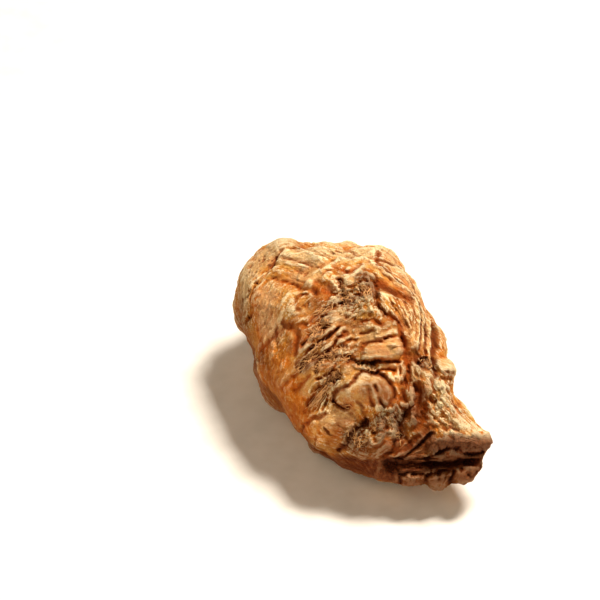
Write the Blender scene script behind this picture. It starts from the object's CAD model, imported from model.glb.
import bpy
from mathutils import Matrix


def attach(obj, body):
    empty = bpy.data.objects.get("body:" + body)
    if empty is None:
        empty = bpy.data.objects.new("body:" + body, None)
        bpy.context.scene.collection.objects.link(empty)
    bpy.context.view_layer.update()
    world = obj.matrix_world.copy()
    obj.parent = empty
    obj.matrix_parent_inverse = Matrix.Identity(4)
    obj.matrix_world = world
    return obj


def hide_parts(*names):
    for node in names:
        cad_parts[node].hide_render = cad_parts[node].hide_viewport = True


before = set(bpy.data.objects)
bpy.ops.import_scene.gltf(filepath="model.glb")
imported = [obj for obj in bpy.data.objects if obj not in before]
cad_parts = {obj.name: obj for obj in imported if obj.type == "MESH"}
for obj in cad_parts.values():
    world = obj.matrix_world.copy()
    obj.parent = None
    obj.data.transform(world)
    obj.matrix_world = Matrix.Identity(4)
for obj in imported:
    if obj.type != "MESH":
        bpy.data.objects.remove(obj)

"""A dried maca root (Lepidium meyenii), the swollen hypocotyl of the plant, shrunk and wrinkled by drying.

The root is one skin: a plump form, then the folds, creases, lumps and hollows laid on it, then the wrinkles
that follow the way the skin shrank, then its fine grain. Threads of side root lie in its creases.
Shapes are worked out in millimetres in the "face plane", a slanting plane that the root's best side looks
out of: u runs to the right, v runs up, and w comes out of it. The finished piece is turned into the part's
frame, in metres, resting on the ground.
"""

import itertools
import logging
import math
from collections.abc import Sequence
from dataclasses import dataclass, field
from enum import Enum, IntEnum

import bpy
import numpy as np
from mathutils import Vector
from numpy.typing import NDArray

Floats = NDArray[np.float64]
Ints = NDArray[np.int64]
Point2 = tuple[float, float]
Socket = bpy.types.NodeSocket

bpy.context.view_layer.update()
NODE = "maca_root"
MM = 0.001
MARKS = ("stain", "cream", "orange", "rust", "brown", "grey", "pitted")
log = logging.getLogger("maca_root")


class Seed(IntEnum):
    """What each kind of chance starts from."""

    WRINKLES = 21
    PORES = 31
    UNEVEN = 41
    PITS = 43
    RAGGED = 50
    SWAY = 60
    ROOTLETS = 77


# === Curves and noise ===

NOISE_GAIN = 1.7  # brings the tops of lattice_noise near to 1


def catmull_rom(a: Floats, b: Floats, c: Floats, d: Floats, t: Floats) -> Floats:
    """The cubic through four evenly spaced values, t of the way from b to c.

    Args:
        a, b, c, d: The four values.
        t: The share of the way, 0 to 1.

    Returns:
        The cubic that meets b and c with slopes (c - a) / 2 and (d - b) / 2.
    """
    slope_in = (c - a) / 2
    slope_out = (d - b) / 2
    cube = 2 * (b - c) + slope_in + slope_out
    square = 3 * (c - b) - 2 * slope_in - slope_out
    return ((cube * t + square) * t + slope_in) * t + b


def smoothstep(low: float, high: float, x: Floats) -> Floats:
    """0 below low, 1 above high, and 3t^2 - 2t^3 between them."""
    t = np.clip((x - low) / (high - low), 0.0, 1.0)
    return t * t * (3 - 2 * t)


def unit(vectors: Floats) -> Floats:
    """Each row divided by its length."""
    return vectors / np.maximum(np.linalg.norm(vectors, axis=1, keepdims=True), 1e-12)


def resampled(path: Sequence[Point2], steps: int) -> Floats:
    """A smooth curve through points in the face plane.

    Args:
        path: The points.
        steps: Straight pieces between two neighbouring points.

    Returns:
        The points of a Catmull-Rom curve through them, its end points doubled, as rows (u, v).
    """
    points = np.array(path, float)
    if len(points) == 1:
        return points
    padded = np.vstack([points[:1], points, points[-1:]])
    t = np.arange(steps)[:, None] / steps
    runs = [catmull_rom(*padded[i:i + 4], t) for i in range(len(points) - 1)]
    return np.vstack([*runs, points[-1:]])


def lattice_noise(points: Floats, seed: int) -> Floats:
    """Smooth noise of about -1 to 1 whose bumps are about one unit apart.

    Each corner of a unit lattice holds a random slope. A point takes what its cell's eight slopes give there,
    mixed by 6t^5 - 15t^4 + 10t^3 along each side of the cell.

    Args:
        points: Rows (x, y, z).
        seed: Chooses the slopes.

    Returns:
        One value for each point.
    """
    rng = np.random.default_rng(seed)
    slopes = unit(rng.normal(size=(256, 3)))
    shuffle = rng.permutation(256)
    cell = np.floor(points).astype(np.int64)
    inside = points - cell
    ease = inside ** 3 * (inside * (inside * 6 - 15) + 10)
    total = np.zeros(len(points))
    for corner in itertools.product((0, 1), repeat=3):
        at = cell + corner
        slot = shuffle[(shuffle[(shuffle[at[:, 0] & 255] + at[:, 1]) & 255] + at[:, 2]) & 255]
        weight = np.prod(np.where(corner, ease, 1 - ease), axis=1)
        total += weight * np.einsum("ij,ij->i", slopes[slot], inside - corner)
    return total * NOISE_GAIN


def strayed(points: Floats, wander: Sequence[tuple[float, float]], seed: int) -> Floats:
    """Points moved a little at random, so that what is drawn over them turns out ragged.

    Args:
        points: Rows (x, y, z).
        wander: How they stray, in sizes: every so many millimetres, by so many.
        seed: Chooses the noise.

    Returns:
        The moved rows.
    """
    moved = points.copy()
    for size, (every, far) in enumerate(wander):
        seeds = range(seed + 3 * size, seed + 3 * size + 3)
        moved += far * np.stack([lattice_noise(points / every, each) for each in seeds], axis=1)
    return moved


# === The plump form ===

@dataclass(frozen=True)
class FacePlane:
    """The slanting plane that the root is shaped about, and how it stands in the part's frame."""

    turn: float = math.radians(52)  # about Z
    rise: float = math.radians(38)  # of the way it looks, above the ground
    origin: tuple[float, float, float] = (0.38, 0.69, 13.75)  # mm, in the part's frame

    @property
    def axes(self) -> Floats:
        """The plane's own directions.

        Returns:
            Rows that hold the directions of u, v and w in the part's frame.
        """
        right = np.array([math.cos(self.turn), math.sin(self.turn), 0.0])
        level = math.cos(self.rise)
        outward = np.array([math.sin(self.turn) * level, -math.cos(self.turn) * level, math.sin(self.rise)])
        return np.array([right, np.cross(outward, right), outward])

    def to_part(self, points: Floats) -> Floats:
        """Points (u, v, w) in the part's frame, still in millimetres."""
        return points @ self.axes + self.origin


@dataclass(frozen=True)
class Outline:
    """The root's outline in the face plane, as a radius for each bearing about its centre."""

    centre: Point2 = (-1.5, 0.0)
    soft_window: float = math.radians(24)
    soft_samples: int = 17
    points: tuple[Point2, ...] = (
        (15.3, -1.8), (14.0, 0.5), (13.3, 2.9), (12.4, 5.3), (11.1, 7.4), (10.0, 10.2), (8.2, 12.9),
        (7.2, 14.6), (6.7, 15.9), (5.0, 17.6), (3.0, 19.0), (0.0, 19.05), (-3.0, 19.5), (-6.5, 20.0),
        (-10.6, 19.5), (-14.0, 20.1), (-16.5, 19.3), (-18.3, 17.9), (-19.8, 16.0), (-20.7, 13.4),
        (-20.9, 10.2), (-20.3, 7.3), (-19.1, 4.6), (-18.2, 1.6), (-17.9, -1.9), (-16.8, -4.3),
        (-14.6, -6.8), (-11.9, -9.5), (-9.8, -12.4), (-8.3, -14.5), (-6.3, -15.4), (-3.2, -17.1),
        (0.0, -18.15), (2.0, -19.1), (5.0, -19.8), (8.0, -20.4), (10.1, -20.0), (12.4, -20.85),
        (14.6, -20.0), (16.4, -19.6), (18.2, -18.0), (19.2, -16.5), (20.2, -14.7), (21.1, -13.3),
        (20.7, -11.7), (19.6, -10.9), (18.3, -9.2), (17.2, -7.7), (15.8, -6.4), (14.95, -4.2),
    )

    def radius(self, bearing: Floats) -> Floats:
        """How far the outline is from the centre, by a periodic Catmull-Rom curve over the points' bearings.

        Args:
            bearing: Radians from u towards v.

        Returns:
            Millimetres.
        """
        spokes = np.array(self.points) - self.centre
        angles = np.mod(np.arctan2(spokes[:, 1], spokes[:, 0]), math.tau)
        order = np.argsort(angles)
        angles, radii = angles[order], np.hypot(*spokes[order].T)
        count = len(angles)
        angle = np.mod(bearing, math.tau)
        after = np.searchsorted(angles, angle, side="right")
        turned = np.concatenate([[angles[-1] - math.tau], angles, [angles[0] + math.tau]])
        t = (angle - turned[after]) / (turned[after + 1] - turned[after])
        return catmull_rom(*(radii[(after + i) % count] for i in (-2, -1, 0, 1)), t)

    def soft_radius(self, bearing: Floats) -> Floats:
        """The radius averaged over a window of bearings, without the outline's small bumps."""
        shifts = np.linspace(-self.soft_window, self.soft_window, self.soft_samples)
        return np.mean([self.radius(bearing + shift) for shift in shifts], axis=0)


@dataclass(frozen=True)
class PlumpForm:
    """The root before it wrinkled: the outline swollen to both sides of the face plane."""

    outline: Outline = Outline()
    edge_power: float = 6.0  # how quickly the outline's small bumps die away inwards
    long_axis: Point2 = (0.6848, -0.7287)  # from the crown to the tail, across the face plane
    lean: float = 0.5  # how far the long axis comes forward for each millimetre of it
    bluntness: float = 2.7  # 2 makes every section an ellipse
    halvings: int = 24  # how closely over() finds a place
    thickness: tuple[tuple[float, float, float], ...] = (  # place on the axis, near half, far half
        (-26, 14, 15), (-18, 16.5, 17.5), (-9, 17, 18.5), (0, 16, 17),
        (9, 13, 14.5), (17, 9.5, 11.5), (26, 7.5, 9),
    )

    def radius_at(self, bearing: Floats, reach: Floats) -> Floats:
        """The soft radius, plus the outline's bumps times reach to the edge power."""
        soft = self.outline.soft_radius(bearing)
        return soft + (self.outline.radius(bearing) - soft) * reach ** self.edge_power

    def half_thickness(self, place: Floats, near: NDArray[np.bool_]) -> Floats:
        """The thickness table, eased between its rows by a Catmull-Rom curve.

        Args:
            place: Millimetres along the long axis.
            near: Whether each place is on the face's side.

        Returns:
            Millimetres from the middle to that side.
        """
        table = np.array(self.thickness)
        last = len(table) - 1
        within = np.clip(place, table[0, 0], table[last, 0])
        after = np.clip(np.searchsorted(table[:, 0], within), 1, last)
        t = (within - table[after - 1, 0]) / (table[after, 0] - table[after - 1, 0])
        column = np.where(near, 1, 2)
        rows = (np.clip(after + i, 0, last) for i in (-2, -1, 0, 1))
        return catmull_rom(*(table[row, column] for row in rows), t)

    def points(self, directions: Floats) -> Floats:
        """The form's points in given directions from its middle.

        u and v are the centre plus the radius at that bearing times the direction's x and y. w is the lean
        times the place on the long axis, plus the half thickness there times the direction's z and a factor
        that rounds the section out to a superellipse: the root of (1 - r^p) / (1 - r^2).

        Args:
            directions: Unit rows (x, y, z).

        Returns:
            Rows (u, v, w).
        """
        reach = np.minimum(np.hypot(directions[:, 0], directions[:, 1]), 1.0)
        radius = self.radius_at(np.arctan2(directions[:, 1], directions[:, 0]), reach)
        u = self.outline.centre[0] + radius * directions[:, 0]
        v = self.outline.centre[1] + radius * directions[:, 1]
        place = u * self.long_axis[0] + v * self.long_axis[1]
        half = self.half_thickness(place, directions[:, 2] > 0)
        room = np.maximum(1 - reach ** 2, 1e-6)
        full = np.sqrt(np.where(room > 1e-6, (1 - reach ** self.bluntness) / room, self.bluntness / 2))
        return np.stack([u, v, self.lean * place + half * directions[:, 2] * full], axis=1)

    def over(self, spots: Floats, far: bool) -> Floats:
        """The form's points over places in the face plane, found by halving the reach over and over.

        Args:
            spots: Rows (u, v).
            far: Whether they lie on the far side.

        Returns:
            Rows (u, v, w).
        """
        spokes = spots - self.outline.centre
        bearing = np.arctan2(spokes[:, 1], spokes[:, 0])
        distance = np.hypot(*spokes.T)
        inside, outside = np.zeros(len(spots)), np.ones(len(spots))
        for _ in range(self.halvings):
            reach = (inside + outside) / 2
            short = reach * self.radius_at(bearing, reach) < distance
            inside, outside = np.where(short, reach, inside), np.where(short, outside, reach)
        z = np.sqrt(1 - inside ** 2) * (-1 if far else 1)
        return self.points(np.stack([inside * np.cos(bearing), inside * np.sin(bearing), z], axis=1))


# === Folds, creases, lumps and hollows ===

PUCKER = 2.6  # how strongly the rims beside a crease stand up
CREASE_TINTED = 0.55  # the share of a crease's width, without most of its rims, that its colours fill
TINT_FADE = 1.2  # how quickly a colour fades from a feature's path
PATH_STEPS = 4  # straight pieces between two points of a feature's path
PLEAT_STRAY = (0.25, 2.4)  # how far pleats leave their even places, in gaps, and how fast that swings
PLEAT_DEPTHS = (0.35, 4.1)  # how much pleats differ in depth, and how fast that swings


class Section(Enum):
    """The shape of a feature across its path, from 1 on the path to 0 at its half width."""

    SOFT = "soft"  # a swell with an eased foot
    CREASE = "crease"  # a groove with a sharp floor, and low puckered rims beside it
    CREST = "crest"  # a ridge with a sharp top
    ROUND = "round"  # a cord with a sharp foot
    FLAT = "flat"  # a bar with a flat top and steep sides

    @property
    def tinted(self) -> float:
        """The share of the half width that its colours fill."""
        return CREASE_TINTED if self is Section.CREASE else 1.0

    def height(self, t: Floats) -> Floats:
        """The section's height: a power of 1 - t or 1 - t^2, or for a cord the root of 1 - t^2.

        Args:
            t: The distance from the path, as a share of the half width.

        Returns:
            The height, as a share of the feature's.
        """
        if self is Section.SOFT:
            return (1 - t * t) ** 2
        if self is Section.CREASE:
            return (1 - t) ** 2 * (1 - PUCKER * t)
        if self is Section.CREST:
            return (1 - t) ** 2
        if self is Section.FLAT:
            return (1 - t ** 5) ** 2
        return np.sqrt(1 - t * t) * (1 - t ** 6)


@dataclass(frozen=True)
class Feature:
    """One fold, crease, lump or hollow: a path laid on the plump form, and what it does beside it."""

    path: tuple[Point2, ...]
    half: float  # mm to each side
    rise: float  # mm, below zero where it sinks
    section: Section = Section.SOFT
    far: bool = False
    stain: float = 0.0  # how much grime its low parts hold, 0 to 1
    cream: float = 0.0  # how pale and corky
    orange: float = 0.0  # how far it keeps the skin's own orange
    rust: float = 0.0  # how orange-brown, as sheltered skin is
    brown: float = 0.0  # how dark, as the underside is
    grey: float = 0.0  # how weathered
    pitted: float = 0.0  # how thick its small pits are

    def share(self, form: PlumpForm, points: Floats) -> tuple[Ints, Floats]:
        """Which points the feature reaches, and their distance from its path.

        Args:
            form: The form that the path lies on.
            points: The form's points.

        Returns:
            The indices of the points within the half width, and the share of it that they are away.
        """
        line = form.over(resampled(self.path, PATH_STEPS), self.far)
        low, high = line.min(axis=0) - self.half, line.max(axis=0) + self.half
        near = np.flatnonzero(((points > low) & (points < high)).all(axis=1))
        chosen = points[near]
        if len(line) == 1:
            away = np.linalg.norm(chosen - line[0], axis=1)
        else:
            away = np.full(len(chosen), np.inf)
            for start, end in zip(line[:-1], line[1:]):
                run = end - start
                t = np.clip((chosen - start) @ run / (run @ run), 0, 1)
                away = np.minimum(away, np.linalg.norm(chosen - start - t[:, None] * run, axis=1))
        reached = away < self.half
        return near[reached], away[reached] / self.half


def swell(half: float, height: float, *path: Point2, **more: float) -> Feature:
    """A broad raised form with an eased foot."""
    return Feature(path, half, height, **more)


def hollow(half: float, depth: float, *path: Point2, **more: float) -> Feature:
    """A broad sunk form with an eased edge."""
    return Feature(path, half, -depth, **more)


def crease(half: float, depth: float, *path: Point2, **more: float) -> Feature:
    """A groove with a sharp floor, whose puckered rims reach twice its half width."""
    return Feature(path, 2 * half, -depth, Section.CREASE, **more)


def crest(half: float, height: float, *path: Point2, **more: float) -> Feature:
    """A ridge with a sharp top."""
    return Feature(path, half, height, Section.CREST, **more)


def roll(half: float, height: float, *path: Point2, **more: float) -> Feature:
    """A rounded cord of skin with a sharp foot."""
    return Feature(path, half, height, Section.ROUND, **more)


def flat(half: float, height: float, *path: Point2, **more: float) -> Feature:
    """A bar of skin with a flat top and steep sides."""
    return Feature(path, half, height, Section.FLAT, **more)


def tint(half: float, *path: Point2, **more: float) -> Feature:
    """A change of colour alone."""
    return Feature(path, half, 0.0, **more)


def pleats(near: Sequence[Point2], far: Sequence[Point2], count: int, half: float, depth: float,
           **more: float) -> tuple[Feature, ...]:
    """Creases side by side, which leave a fold between each and the next.

    Args:
        near: Points along one edge of the pleated skin.
        far: As many points along its other edge.
        count: How many creases, from the one edge to the other.
        half: Their half width, in millimetres.
        depth: Their depth, in millimetres.
        more: Their colours.

    Returns:
        The creases.
    """
    edges = np.array(near), np.array(far)
    order = np.arange(count)
    shares = np.linspace(0, 1, count) + PLEAT_STRAY[0] / count * np.sin(PLEAT_STRAY[1] * order)
    depths = depth * (1 + PLEAT_DEPTHS[0] * np.sin(PLEAT_DEPTHS[1] * order))
    paths = (edges[0] * (1 - share) + edges[1] * share for share in shares)
    return tuple(crease(half, float(deep), *map(tuple, path.tolist()), **more)
                 for deep, path in zip(depths, paths))


# A pale, pitted cap that a crease parts from the body, and the round scar that the leaves grew from.
CROWN = (
    crease(0.8, 0.5, (-13.4, 18.3), (-14.2, 17.2), (-15, 16), (-15.9, 14.6), (-16.9, 13.2), (-17.9, 12.2),
        (-18.5, 11), (-18.5, 9.6), (-18.4, 8.7), (-18.8, 7.8), (-19.4, 6.6), stain=0.4),
    hollow(1.9, 0.6, (-14.2, 17.2), (-16, 14.6), (-18.2, 11.6), (-18.7, 8)),
    swell(2.4, 0.3, (-12.5, 20), (-16.2, 18.2), (-18.8, 15.6), (-20.1, 12), (-20.1, 8.2)),
    tint(3, (-11.8, 19.6), (-14.6, 18.8), (-17.2, 16.6), (-19, 13.6), (-19.9, 10.4), cream=0.6, grey=0.3),
    tint(3.6, (-12.8, 18.8), (-15, 17.6), (-17.4, 15), (-19, 12), (-19.6, 8.4), pitted=1),
    swell(0.8, 0.4, (-15.3, 15.4), (-16.4, 14.4), (-17.3, 13.6), cream=0.4),
    crease(0.4, 0.4, (-15.8, 14.9), (-16.8, 14), (-17.4, 13), stain=0.4),
    *(hollow(radius, 0.55, (u, v), stain=0.95) for u, v, radius in ((-13.5, 18.4, 0.34),
        (-13.5, 17.9, 0.36), (-13.05, 18.6, 0.3), (-14.8, 18.3, 0.34), (-14.4, 18.1, 0.34),
        (-15.1, 15.9, 0.45), (-14.8, 16.2, 0.34), (-14.3, 17.3, 0.3), (-17.5, 13.1, 0.45),
        (-17.9, 12.4, 0.4), (-16.8, 12.9, 0.34), (-18.4, 13.2, 0.3), (-18.6, 9.3, 0.4), (-18.4, 10.2, 0.3),
        (-19.2, 7.4, 0.35))),
    *(hollow(radius, 0.3, (u, v), stain=0.5) for u, v, radius in ((-16.4, 17, 0.4), (-16.2, 18.5, 0.35),
        (-18.5, 17.1, 0.35), (-18.3, 15.5, 0.5), (-17.7, 14.7, 0.35), (-19.4, 14.8, 0.4),
        (-18.4, 14.7, 0.3), (-19.9, 10.4, 0.45), (-20.2, 12.6, 0.3), (-19.1, 11.5, 0.35), (-19, 8.9, 0.35),
        (-20.2, 7.8, 0.35), (-17, 16.2, 0.3), (-15.9, 17.4, 0.3))),
    hollow(5.2, 2.1, (-17.2, 15.6), far=True, cream=0.5, stain=0.25),
    roll(1.5, 1, (-12.2, 18.2), (-9.9, 14.8), (-11.5, 11), (-15.2, 9), (-19.2, 9.4), far=True, cream=0.7),
    crease(1.4, 1, (-7.5, 19.2), (-6.4, 14.6), (-8.6, 9.2), (-12.8, 6), (-18.4, 5.2), far=True, stain=0.4),
    roll(1.2, 0.5, (-18, 16.4), (-15.6, 15), (-16.6, 12.8), far=True, cream=0.6),
)

# Long folds that slant across the top from the crown, and the rim fold that frames the face from the
# left, over the top and down the right shoulder.
TOP_FOLDS = (
    *pleats(((-12.6, 18.8), (-9.8, 18.2), (-7, 16.9), (-5.6, 16.2)), ((-9.6, 19.9), (-5.8, 19.4),
        (-2.6, 18), (-0.4, 17.5)), 6, 0.32, 0.4, rust=0.5),
    *pleats(((-14.8, 14.6), (-12.2, 14.2), (-9.4, 13)), ((-13.2, 17.2), (-10.4, 16.6), (-7.6, 15.4)), 5,
        0.3, 0.3, rust=0.4),
    *pleats(((1.2, 17.4), (2.6, 17.9), (3.6, 17.6)), ((-1.2, 18.8), (1.4, 18.8), (3.8, 18.5)), 3, 0.3, 0.35,
        rust=0.4),
    crest(1.2, 0.48, (-11.8, 19.1), (-10, 18.4), (-8, 17.2), (-6.2, 16.3), cream=0.4),
    crease(0.9, 0.48, (-10.4, 19.2), (-8.4, 18.1), (-7, 17.3), (-5, 16.6), rust=0.4),
    crease(0.8, 0.42, (-13, 17.3), (-11, 16.7), (-9, 16), (-7.9, 15.3), (-6.4, 15.8), rust=0.6),
    crest(1, 0.36, (-12.6, 16.6), (-10, 15.9), (-8.1, 15), cream=0.3),
    crest(0.9, 0.3, (-8, 19.3), (-6, 18.6), (-4.4, 17.9), (-3.4, 17.3), cream=0.4),
    crest(1, 0.42, (-5, 19.6), (-3.4, 18.9), (-2, 18.1), (-0.6, 17.5), (0.8, 17.2), cream=0.4),
    crease(0.7, 0.42, (-3, 19.1), (-1.9, 18.5), (-0.5, 17.8), (0.6, 17.6), (1.6, 17.7), rust=0.6),
    hollow(0.8, 0.42, (-3, 17.6), (-1.8, 17.5), rust=0.8),
    crest(1.4, 0.6, (-8.9, 12.8), (-8.6, 13.7), (-7.4, 14.6), (-6, 15.3), (-4.9, 16.1), (-3.4, 16.8),
        (-1, 17.1), (0.6, 17), (1.8, 16.6), (3.1, 15.8), (4.3, 14.7), (5.6, 13.5), (6.8, 12.2), (7.7, 10.8),
        (8.4, 9.3), (9, 7.8), (9.3, 6.2), (9.2, 4.6), (9, 3.2), cream=0.45),
    swell(1.3, 0.36, (-15, 15.3), (-12.4, 15), (-10, 14), (-8.6, 12.9), rust=0.3),
    crease(1.2, 0.48, (-15, 14), (-12.5, 13.2), (-10, 12.1), (-7.8, 11.5), rust=0.5),
    crease(0.5, 0.24, (-14.8, 13.8), (-13, 13.2), (-11.2, 12.6), (-10, 12), (-8.6, 11.9), stain=0.2),
    hollow(0.8, 0.6, (-8.2, 11.7), (-7.6, 11.3), stain=0.7),
    hollow(2, 0.6, (-7, 12.4), (-5.6, 11.6), rust=1),
    roll(1.3, 0.42, (-6.2, 13.9), (-5, 13.9), (-4.3, 13)),
    crease(0.6, 0.42, (-8.2, 12.8), (-7.2, 13.6), (-6.2, 14.4), (-5, 14.8), (-3.8, 14.2), stain=0.3),
    crest(0.5, 0.3, (-4.9, 12.9), (-4.1, 12.2), (-3.6, 11.4), cream=0.3),
    crease(0.5, 0.3, (-4.8, 13.2), (-4, 12.6), (-3.4, 11.6), stain=0.4),
    roll(1, 0.36, (-5.2, 10.5), (-4.2, 10.5), cream=0.4),
    crease(0.5, 0.36, (-5.9, 10.3), (-5.2, 11), (-3.8, 11.3), stain=0.5),
    crease(0.8, 0.54, (-4.6, 15.3), (-3.6, 15.1), (-2.8, 14.5), rust=0.9, stain=0.2),
    crease(0.8, 0.66, (-2.6, 14.6), (-1.6, 14.9), (-0.8, 15.4), (-0.2, 16.2), rust=0.9, stain=0.3),
    roll(0.5, 0.24, (-3.2, 15.9), (-2.4, 15.5)), roll(0.45, 0.24, (-1.6, 16.2), (-1.3, 15.6)),
    crest(1.3, 0.66, (-3, 13.6), (-1.5, 14.3), (0, 15.9), cream=0.7),
    roll(1, 0.3, (-2.6, 13.2), (-1.2, 13.8), (0, 14.9), cream=0.5),
    crease(0.7, 0.48, (-2.4, 12.5), (-1.2, 12.8), (-0.4, 13.6), stain=0.6),
    roll(0.5, 0.3, (-2.9, 12), (-1.9, 12.1), (-1.1, 12.2), cream=0.4),
    crease(0.7, 0.54, (0.2, 15.2), (1.2, 15.2), (2.2, 14.7), stain=0.3, rust=0.6),
    roll(0.6, 0.3, (0.1, 14.5), (1, 14.6), (1.8, 14.3), cream=0.4),
    roll(0.45, 0.3, (-0.3, 13.6), (0.3, 14), (1.1, 13.7), (1, 13), (0.2, 12.9)),
    hollow(0.45, 0.48, (0.7, 13.2), stain=1),
)

# The hollow outside the rim fold, long creases that bend down over the right shoulder, the crumpled lobe
# inside the rim, and the sheltered hollows at its foot.
SHOULDER = (
    crease(0.7, 0.7, (2.8, 18.3), (2.5, 17.4), (2.4, 16.7), (3, 16.2), stain=0.55, rust=0.8),
    hollow(0.8, 0.6, (3, 17), (4, 16.8), (4.9, 16.2), rust=1, brown=0.5),
    crest(0.5, 0.4, (3.2, 16.3), (4, 16), (4.7, 15.3), (5.2, 14.6), cream=0.4),
    *pleats(((3.8, 17.7), (5.1, 16.5), (6.2, 15.1)), ((4.7, 18.4), (6.2, 17), (7.3, 14.9)), 3, 0.35, 0.4,
        rust=0.6),
    crease(0.45, 0.65, (2.6, 16.1), (3.5, 15.7), (4.3, 14.9), (5.2, 14.1), (6.2, 13.1), (7.3, 11.9),
        (8.1, 10.6), rust=1, brown=0.4),
    crest(0.55, 0.5, (5, 15.6), (6.1, 14.5), (7, 13.4), (7.6, 12.4), (8.3, 11.3), (8.8, 10.2), (9.2, 9.2),
        (9.7, 7.8), (10, 6.4), (10.1, 4.8), (9.9, 3.2), cream=0.6),
    crease(0.45, 0.8, (5.6, 16.1), (6.6, 14.8), (7.5, 13.3), (8.3, 12), (9, 10.6), (9.5, 9.4), (9.9, 8.2),
        (10.3, 6.8), (10.6, 5.2), (10.5, 3.2), (10.3, 1.8), rust=1, brown=0.45),
    crest(0.55, 0.5, (6.3, 15.9), (7.3, 14.3), (8.3, 12.5), (9.3, 11), (10, 9.6), (10.4, 8.4), (10.8, 7),
        (11.1, 5.4), (11.2, 3.6), (11, 1.8), cream=0.6),
    crease(0.4, 0.55, (8.6, 12.9), (9.7, 11), (10.4, 9.4), (10.9, 7.8), (11.3, 6.2), (11.6, 4.4), rust=0.8),
    crease(0.45, 0.75, (7.9, 11.5), (8.6, 10.1), (9.1, 8.8), (9.4, 7.6), (9.6, 6.2), (9.5, 4.8), (9.3, 3.2),
        (9.2, 2), rust=1, brown=0.5),
    crest(0.5, 0.4, (7.4, 11.8), (8.2, 10.2), (8.7, 8.8), (9, 7.4), (9.15, 6), (9.1, 4.6), (8.9, 3.2),
        cream=0.6),
    crease(0.4, 0.5, (6.9, 11), (7.8, 9.6), (8.3, 8.2), (8.6, 6.6), (8.6, 5), (8.4, 3.6), rust=0.9),
    *pleats(((3, 15.2), (4.6, 13.8), (6.4, 12)), ((3.9, 15.9), (5.7, 14.2), (7.4, 12.3)), 3, 0.3, 0.3,
        rust=0.6),
    *pleats(((4.4, 10.4), (5.3, 8.9), (6.2, 7.5), (6.9, 6.2)), ((6.9, 10.2), (7.7, 8.6), (8.1, 7),
        (8.2, 5.2)), 5, 0.3, 0.45, rust=0.9, brown=0.15),
    hollow(1.5, 0.6, (2.9, 13.4), (3.7, 12.5), (5, 11.9), (6.3, 11.2), (7.3, 10.6), rust=1, orange=0.5,
        brown=0.25),
    swell(0.9, 0.2, (4.2, 11.6)),
    swell(2.2, 0.7, (4.2, 10.6), (6.2, 9.5), (7.8, 7.4), (8.3, 4.6), (8.4, 3)),
    crest(0.6, 0.42, (2.9, 11.3), (3.7, 10.9), (5, 10.8), (6.2, 10.3), (7, 9.7), cream=0.4),
    crest(0.6, 0.5, (4.7, 8.3), (5.6, 7.3), (6.2, 6.4), (6.7, 5.6), (6.9, 4.4), cream=0.5),
    crease(0.4, 0.45, (6.6, 7.6), (7.1, 6.6), (7.4, 5.6), (7.4, 4.6), rust=0.8, brown=0.3),
    hollow(0.3, 0.3, (5.3, 8.2), stain=0.7), hollow(0.3, 0.3, (5.4, 9.3), stain=0.5),
    hollow(0.3, 0.3, (7.25, 8.1), stain=0.5), swell(1.3, 0.3, (7.9, 4.4), (8.3, 2.8), cream=0.2),
    hollow(1.5, 0.6, (7.6, 1), (8.8, 0.8), rust=1, brown=0.4),
    tint(1.7, (7.4, 2.2), (9, 1.8), rust=0.5, brown=0.4),
    hollow(0.7, 0.8, (9.6, 0.7), (10.4, 0.9), stain=1, brown=1),
    hollow(0.6, 0.6, (9.1, 0.1), stain=0.9, brown=0.8), hollow(0.4, 0.42, (8.8, -0.3), stain=0.6),
    *(roll(radius, 0.4, (u, v), cream=0.3) for u, v, radius in ((10.8, 0.5, 0.5), (10.4, -0.2, 0.5),
        (11.1, -0.2, 0.45), (9.7, -0.4, 0.4), (9.1, 0.7, 0.35))),
    crease(0.9, 1, (11.3, 6.6), (11.6, 5.4), (11.9, 3.9), (11.8, 2), (11.6, 0.6), (11.4, -0.6),
        (11.8, -1.9), rust=1, brown=0.7),
    hollow(1.6, 0.8, (13.2, 5.4), (14, 3.4), (14.2, 1.8)),
    crest(0.4, 0.45, (11.2, 7.2), (12, 6), (12.9, 4), (13.3, 2.6), (13.6, 1.2), cream=0.6),
    hollow(1, 0.9, (11.7, 5.6), (12.2, 4.2), (12.4, 2.6), rust=1, brown=0.85),
    hollow(0.4, 0.45, (13.1, 2.2), (13.2, 1.6), stain=0.6),
    crest(0.6, 0.42, (11.8, 1.9), (12.3, 1), (12.6, 0), cream=0.3),
)

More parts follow.
